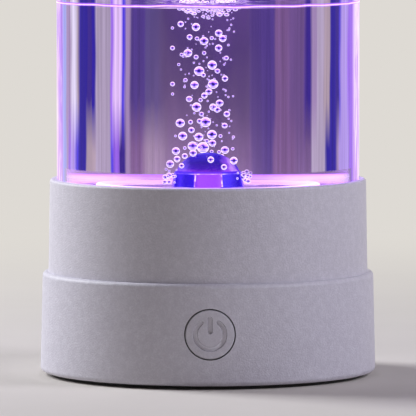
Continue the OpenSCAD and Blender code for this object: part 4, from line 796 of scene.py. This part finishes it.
found = []
for px, down, r in seen:
    out = abs(px - mid_px) / px_per_mm / water_ior
    room = math.sqrt(max(column_r**2 - out**2, 4.0)) * 0.85
    depth = chance.uniform(-room, room)
    if down > nozzle_top_px:
        depth = -abs(depth) * 0.4 if abs(px - mid_px) > nozzle_half_px else before_nozzle
    found.append((sit(px, down, depth), r / px_per_mm, bubble_flat_by))
for px, down, r in on_dome:
    found.append((sit(px, down, before_dome), r / px_per_mm, bubble_flat_by))
for _ in range(speck_count):  # fine specks of air among them
    z = speck_foot_z + speck_rise * chance.random()
    a, r = chance.uniform(0, 2 * math.pi), speck_r * math.sqrt(chance.random())
    found.append((round_at(a, r, z), chance.uniform(0.16, 0.38), 1.0))
for _ in range(froth_count):  # froth on the surface and just under it, deepest in the middle
    a, r = chance.uniform(0, 2 * math.pi), froth_r * math.sqrt(chance.random())
    up = froth_top - froth_deep * chance.random() ** 1.5 * (1.1 - (r / froth_r) ** 2)
    found.append((round_at(a, r, water_level_z + up), 0.22 + 0.75 * chance.random() ** 2, froth_flat_by))
for side in (0, math.pi):  # bubbles that cling to the nozzle on both sides of its foot
    for _ in range(cling_count):
        a, r = side + chance.uniform(-0.6, 0.6), chance.uniform(cling_from_r, cling_to_r)
        z = cling_foot_z + cling_rise * chance.random()
        found.append((round_at(a, r, z), chance.uniform(0.3, 0.95), bubble_flat_by))

verts, faces = [], []
for (x, y, z), r, flat_by in found:
    ball_around, ball_rows = (20, 12) if r > 0.6 else (12, 8)
    wobble = chance.uniform(0, 2)
    first = len(verts)
    verts.append((x, y, z + r * flat_by))
    for i in range(1, ball_rows):
        up = math.pi * i / ball_rows
        for a in turns(ball_around):
            wide = r / water_ior * (1 + 0.03 * math.sin(2 * a + wobble) * math.sin(up)) * math.sin(up)
            verts.append((x + wide * math.cos(a), y + wide * math.sin(a), z + r * flat_by * math.cos(up)))
    verts.append((x, y, z - r * flat_by))
    last = len(verts) - 1
    for j in range(ball_around):
        k = (j + 1) % ball_around
        faces.append((first, first + 1 + j, first + 1 + k))
        faces.append((last, last - ball_around + k, last - ball_around + j))
        for i in range(ball_rows - 2):
            top = first + 1 + i * ball_around
            faces.append((top + j, top + ball_around + j, top + ball_around + k, top + k))
bubbles = piece("rising_bubbles", verts, faces, "base", "water", crease=180)
# Air in water mirrors the light all round its edge, painted as a bright reflection.
air, skin = finish("air_bubble_edge", Base_Color=srgb("#140A28"), Roughness=0.05, IOR=1.33, Emission_Strength=1.8)
rim = put(air, "LayerWeight", {"Blend": 0.5})
tilt = put(air, "SeparateXYZ", {0: put(air, "NewGeometry").outputs["Normal"]})
warp = put(air, "TexNoise", {"Vector": place_mm(air), "Scale": 1 / 0.8, "Detail": 2.0})
warp = put(air, "Math", {0: warp, 1: 0.14, 2: rim.outputs["Facing"]}, operation="MULTIPLY_ADD")
band = put(
    air, "ValToRGB", {0: warp},
    stops=[(0.07, "#0A0348"), (0.1, "#2410A0"), (0.12, "#A884EE"), (0.17, "#DCC8FF"), (0.27, "#FBF4FF"),
           (0.7, "#FFFAFF"), (0.9, "#F0DCFF"), (1.0, "#A888F4")],
)
# painted light and reflection: a dark line crosses each bubble, pink light lies above it and blue light low down
height = put(air, "MapRange", {0: tilt.outputs["Z"], 1: -1.0, 2: 1.0})
level = put(
    air, "ValToRGB", {0: height},
    stops=[(0.12, "#FFFFFF"), (0.2, "#8C7CF4"), (0.28, "#E6DCFF"), (0.45, "#E4D4FF"), (0.49, "#3A24B8"),
           (0.56, "#4028B8"), (0.6, "#F0B8FC"), (0.8, "#FBD8FF")],
)
middle = put(air, "MapRange", {0: warp, 1: 0.42, 2: 0.66, 3: 1.0, 4: 0.0})
tone = put(air, "Mix", {0: middle, 6: band, 7: level}, data_type="RGBA", blend_type="MULTIPLY")
link(air, tone, skin.inputs["Emission Color"])
bubbles.data.materials.append(air)


# -------------------- lift-off cap
# The cap is white ABS with a shallow dish and six vents, and a plug ring glued under it carries the silicone ring that
# seals the tube. It lifts off to fill and clean the tank.
# Its grain is the base's, but its gloss is duller, so that the flat top throws no glare. The plug is smoother.
cap_abs = moulded("moulded_cap_abs", "#E4E2EC", "#D5D2DD", 0.75, 0.5, 1.0, cloud=2.0, depth=0.3,
                  Specular_IOR_Level=0.08)
dress(cap_abs, "top_cap")
dress(moulded("moulded_plug_abs", "#DCDAE3", "#D0CED9", 0.4, 0.6, 0.25), "cap_plug")


# -------------------- studio
# A plain pale floor and two soft lamps, a strong one at the left and a weaker one at the right. The camera stands low
# and far off, as the photograph's lens did.
floor_mesh = bpy.data.meshes.new("studio_floor")
half_m, cells = 9.0, 12
grid_m = [(i / cells * 2 - 1) * half_m for i in range(cells + 1)]
floor_mesh.from_pydata([(x, y, 0.0) for y in grid_m for x in grid_m], [], [
    (j * (cells + 1) + i, j * (cells + 1) + i + 1, (j + 1) * (cells + 1) + i + 1, (j + 1) * (cells + 1) + i)
    for j in range(cells) for i in range(cells)
])
studio_floor = bpy.data.objects.new("studio_floor", floor_mesh)
bpy.context.scene.collection.objects.link(studio_floor)
# Matte paper, faintly mottled.
paper, skin = finish("pale_studio_paper", Roughness=0.9, IOR=1.3)
spot = place_mm(paper)
fibre = put(paper, "TexNoise", {"Vector": spot, "Scale": 1 / 60.0, "Detail": 4.0})
tone = put(paper, "ValToRGB", {0: fibre}, stops=[(0.3, "#D9D4CD"), (0.7, "#DDD8D1")])
link(paper, tone, skin.inputs["Base Color"])


def looked_at(mat):
    """One where the camera sees a thing itself, in a mirror or through glass, and nought where it lights others."""
    ray = put(mat, "LightPath")
    direct = put(mat, "Math", {0: ray.outputs["Is Camera Ray"], 1: ray.outputs["Is Glossy Ray"]}, operation="MAXIMUM")
    return put(mat, "Math", {0: direct, 1: ray.outputs["Is Transmission Ray"]}, operation="MAXIMUM")


# away from the lamp the paper shows as evenly pale, whatever the lamps reach
away = put(paper, "VectorMath", {0: spot}, operation="LENGTH")
away = put(paper, "MapRange", {0: away, 1: 90.0, 2: 620.0}, interpolation_type="SMOOTHSTEP")
share = put(paper, "Math", {0: away, 1: looked_at(paper)}, operation="MULTIPLY")
pale = put(paper, "Emission", {"Color": srgb("#DEDAD4"), "Strength": 1.0})
shown = put(paper, "MixShader", {0: share, 1: skin, 2: pale})
link(paper, shown, node_of(paper, "OUTPUT_MATERIAL").inputs["Surface"])
floor_mesh.materials.append(paper)

world = bpy.data.worlds.new("pale_room")
bpy.context.scene.world = world
world.use_nodes = True
world.node_tree.nodes.clear()
room = put(world, "Background", {"Color": srgb("#F2BCD6"), "Strength": 0.02})
paleness = put(world, "Background", {"Color": srgb("#E4DFD8"), "Strength": 1.0})
sky = put(world, "MixShader", {0: looked_at(world), 1: room, 2: paleness})
put(world, "OutputWorld", {"Surface": sky})


def stand(turn, rise, away, aim):
    """A place that far from the aim, turned round it from the front and raised, and the turn that faces it."""
    way = Vector((math.sin(turn) * math.cos(rise), -math.cos(turn) * math.cos(rise), math.sin(rise)))
    return aim + way * away, (-way).to_track_quat("-Z", "Y").to_euler()


lamp_away_m, lamp_aim_m = 1.3, Vector((0, 0, 0.07))
for name, turn, rise, power, colour in (
    ("left_softbox", -118, 32, 20.0, "#F6F8FF"), ("right_softbox", 73, 30, 9.0, "#F0EFFF"),
):
    light = bpy.data.lights.new(name, "AREA")
    light.shape, light.size, light.size_y, light.energy = "RECTANGLE", 0.5, 0.8, power  # sides in metres
    light.color = srgb(colour)[:3]
    lamp = bpy.data.objects.new(name, light)
    lamp.location, lamp.rotation_euler = stand(math.radians(turn), math.radians(rise), lamp_away_m, lamp_aim_m)
    lamp.visible_camera = False
    bpy.context.scene.collection.objects.link(lamp)

camera_data = bpy.data.cameras.new("camera")
camera_data.sensor_width, camera_data.lens, camera_data.clip_end = 36.0, eye_px * 36 / 416, 60.0
camera = bpy.data.objects.new("camera", camera_data)
camera.location, camera.rotation_euler = stand(eye_turn, eye_rise, eye_away / 1000, Vector((0, 0, eye_z / 1000)))
bpy.context.scene.collection.objects.link(camera)
bpy.context.scene.camera = camera
bpy.context.scene.view_settings.view_transform = "Standard"
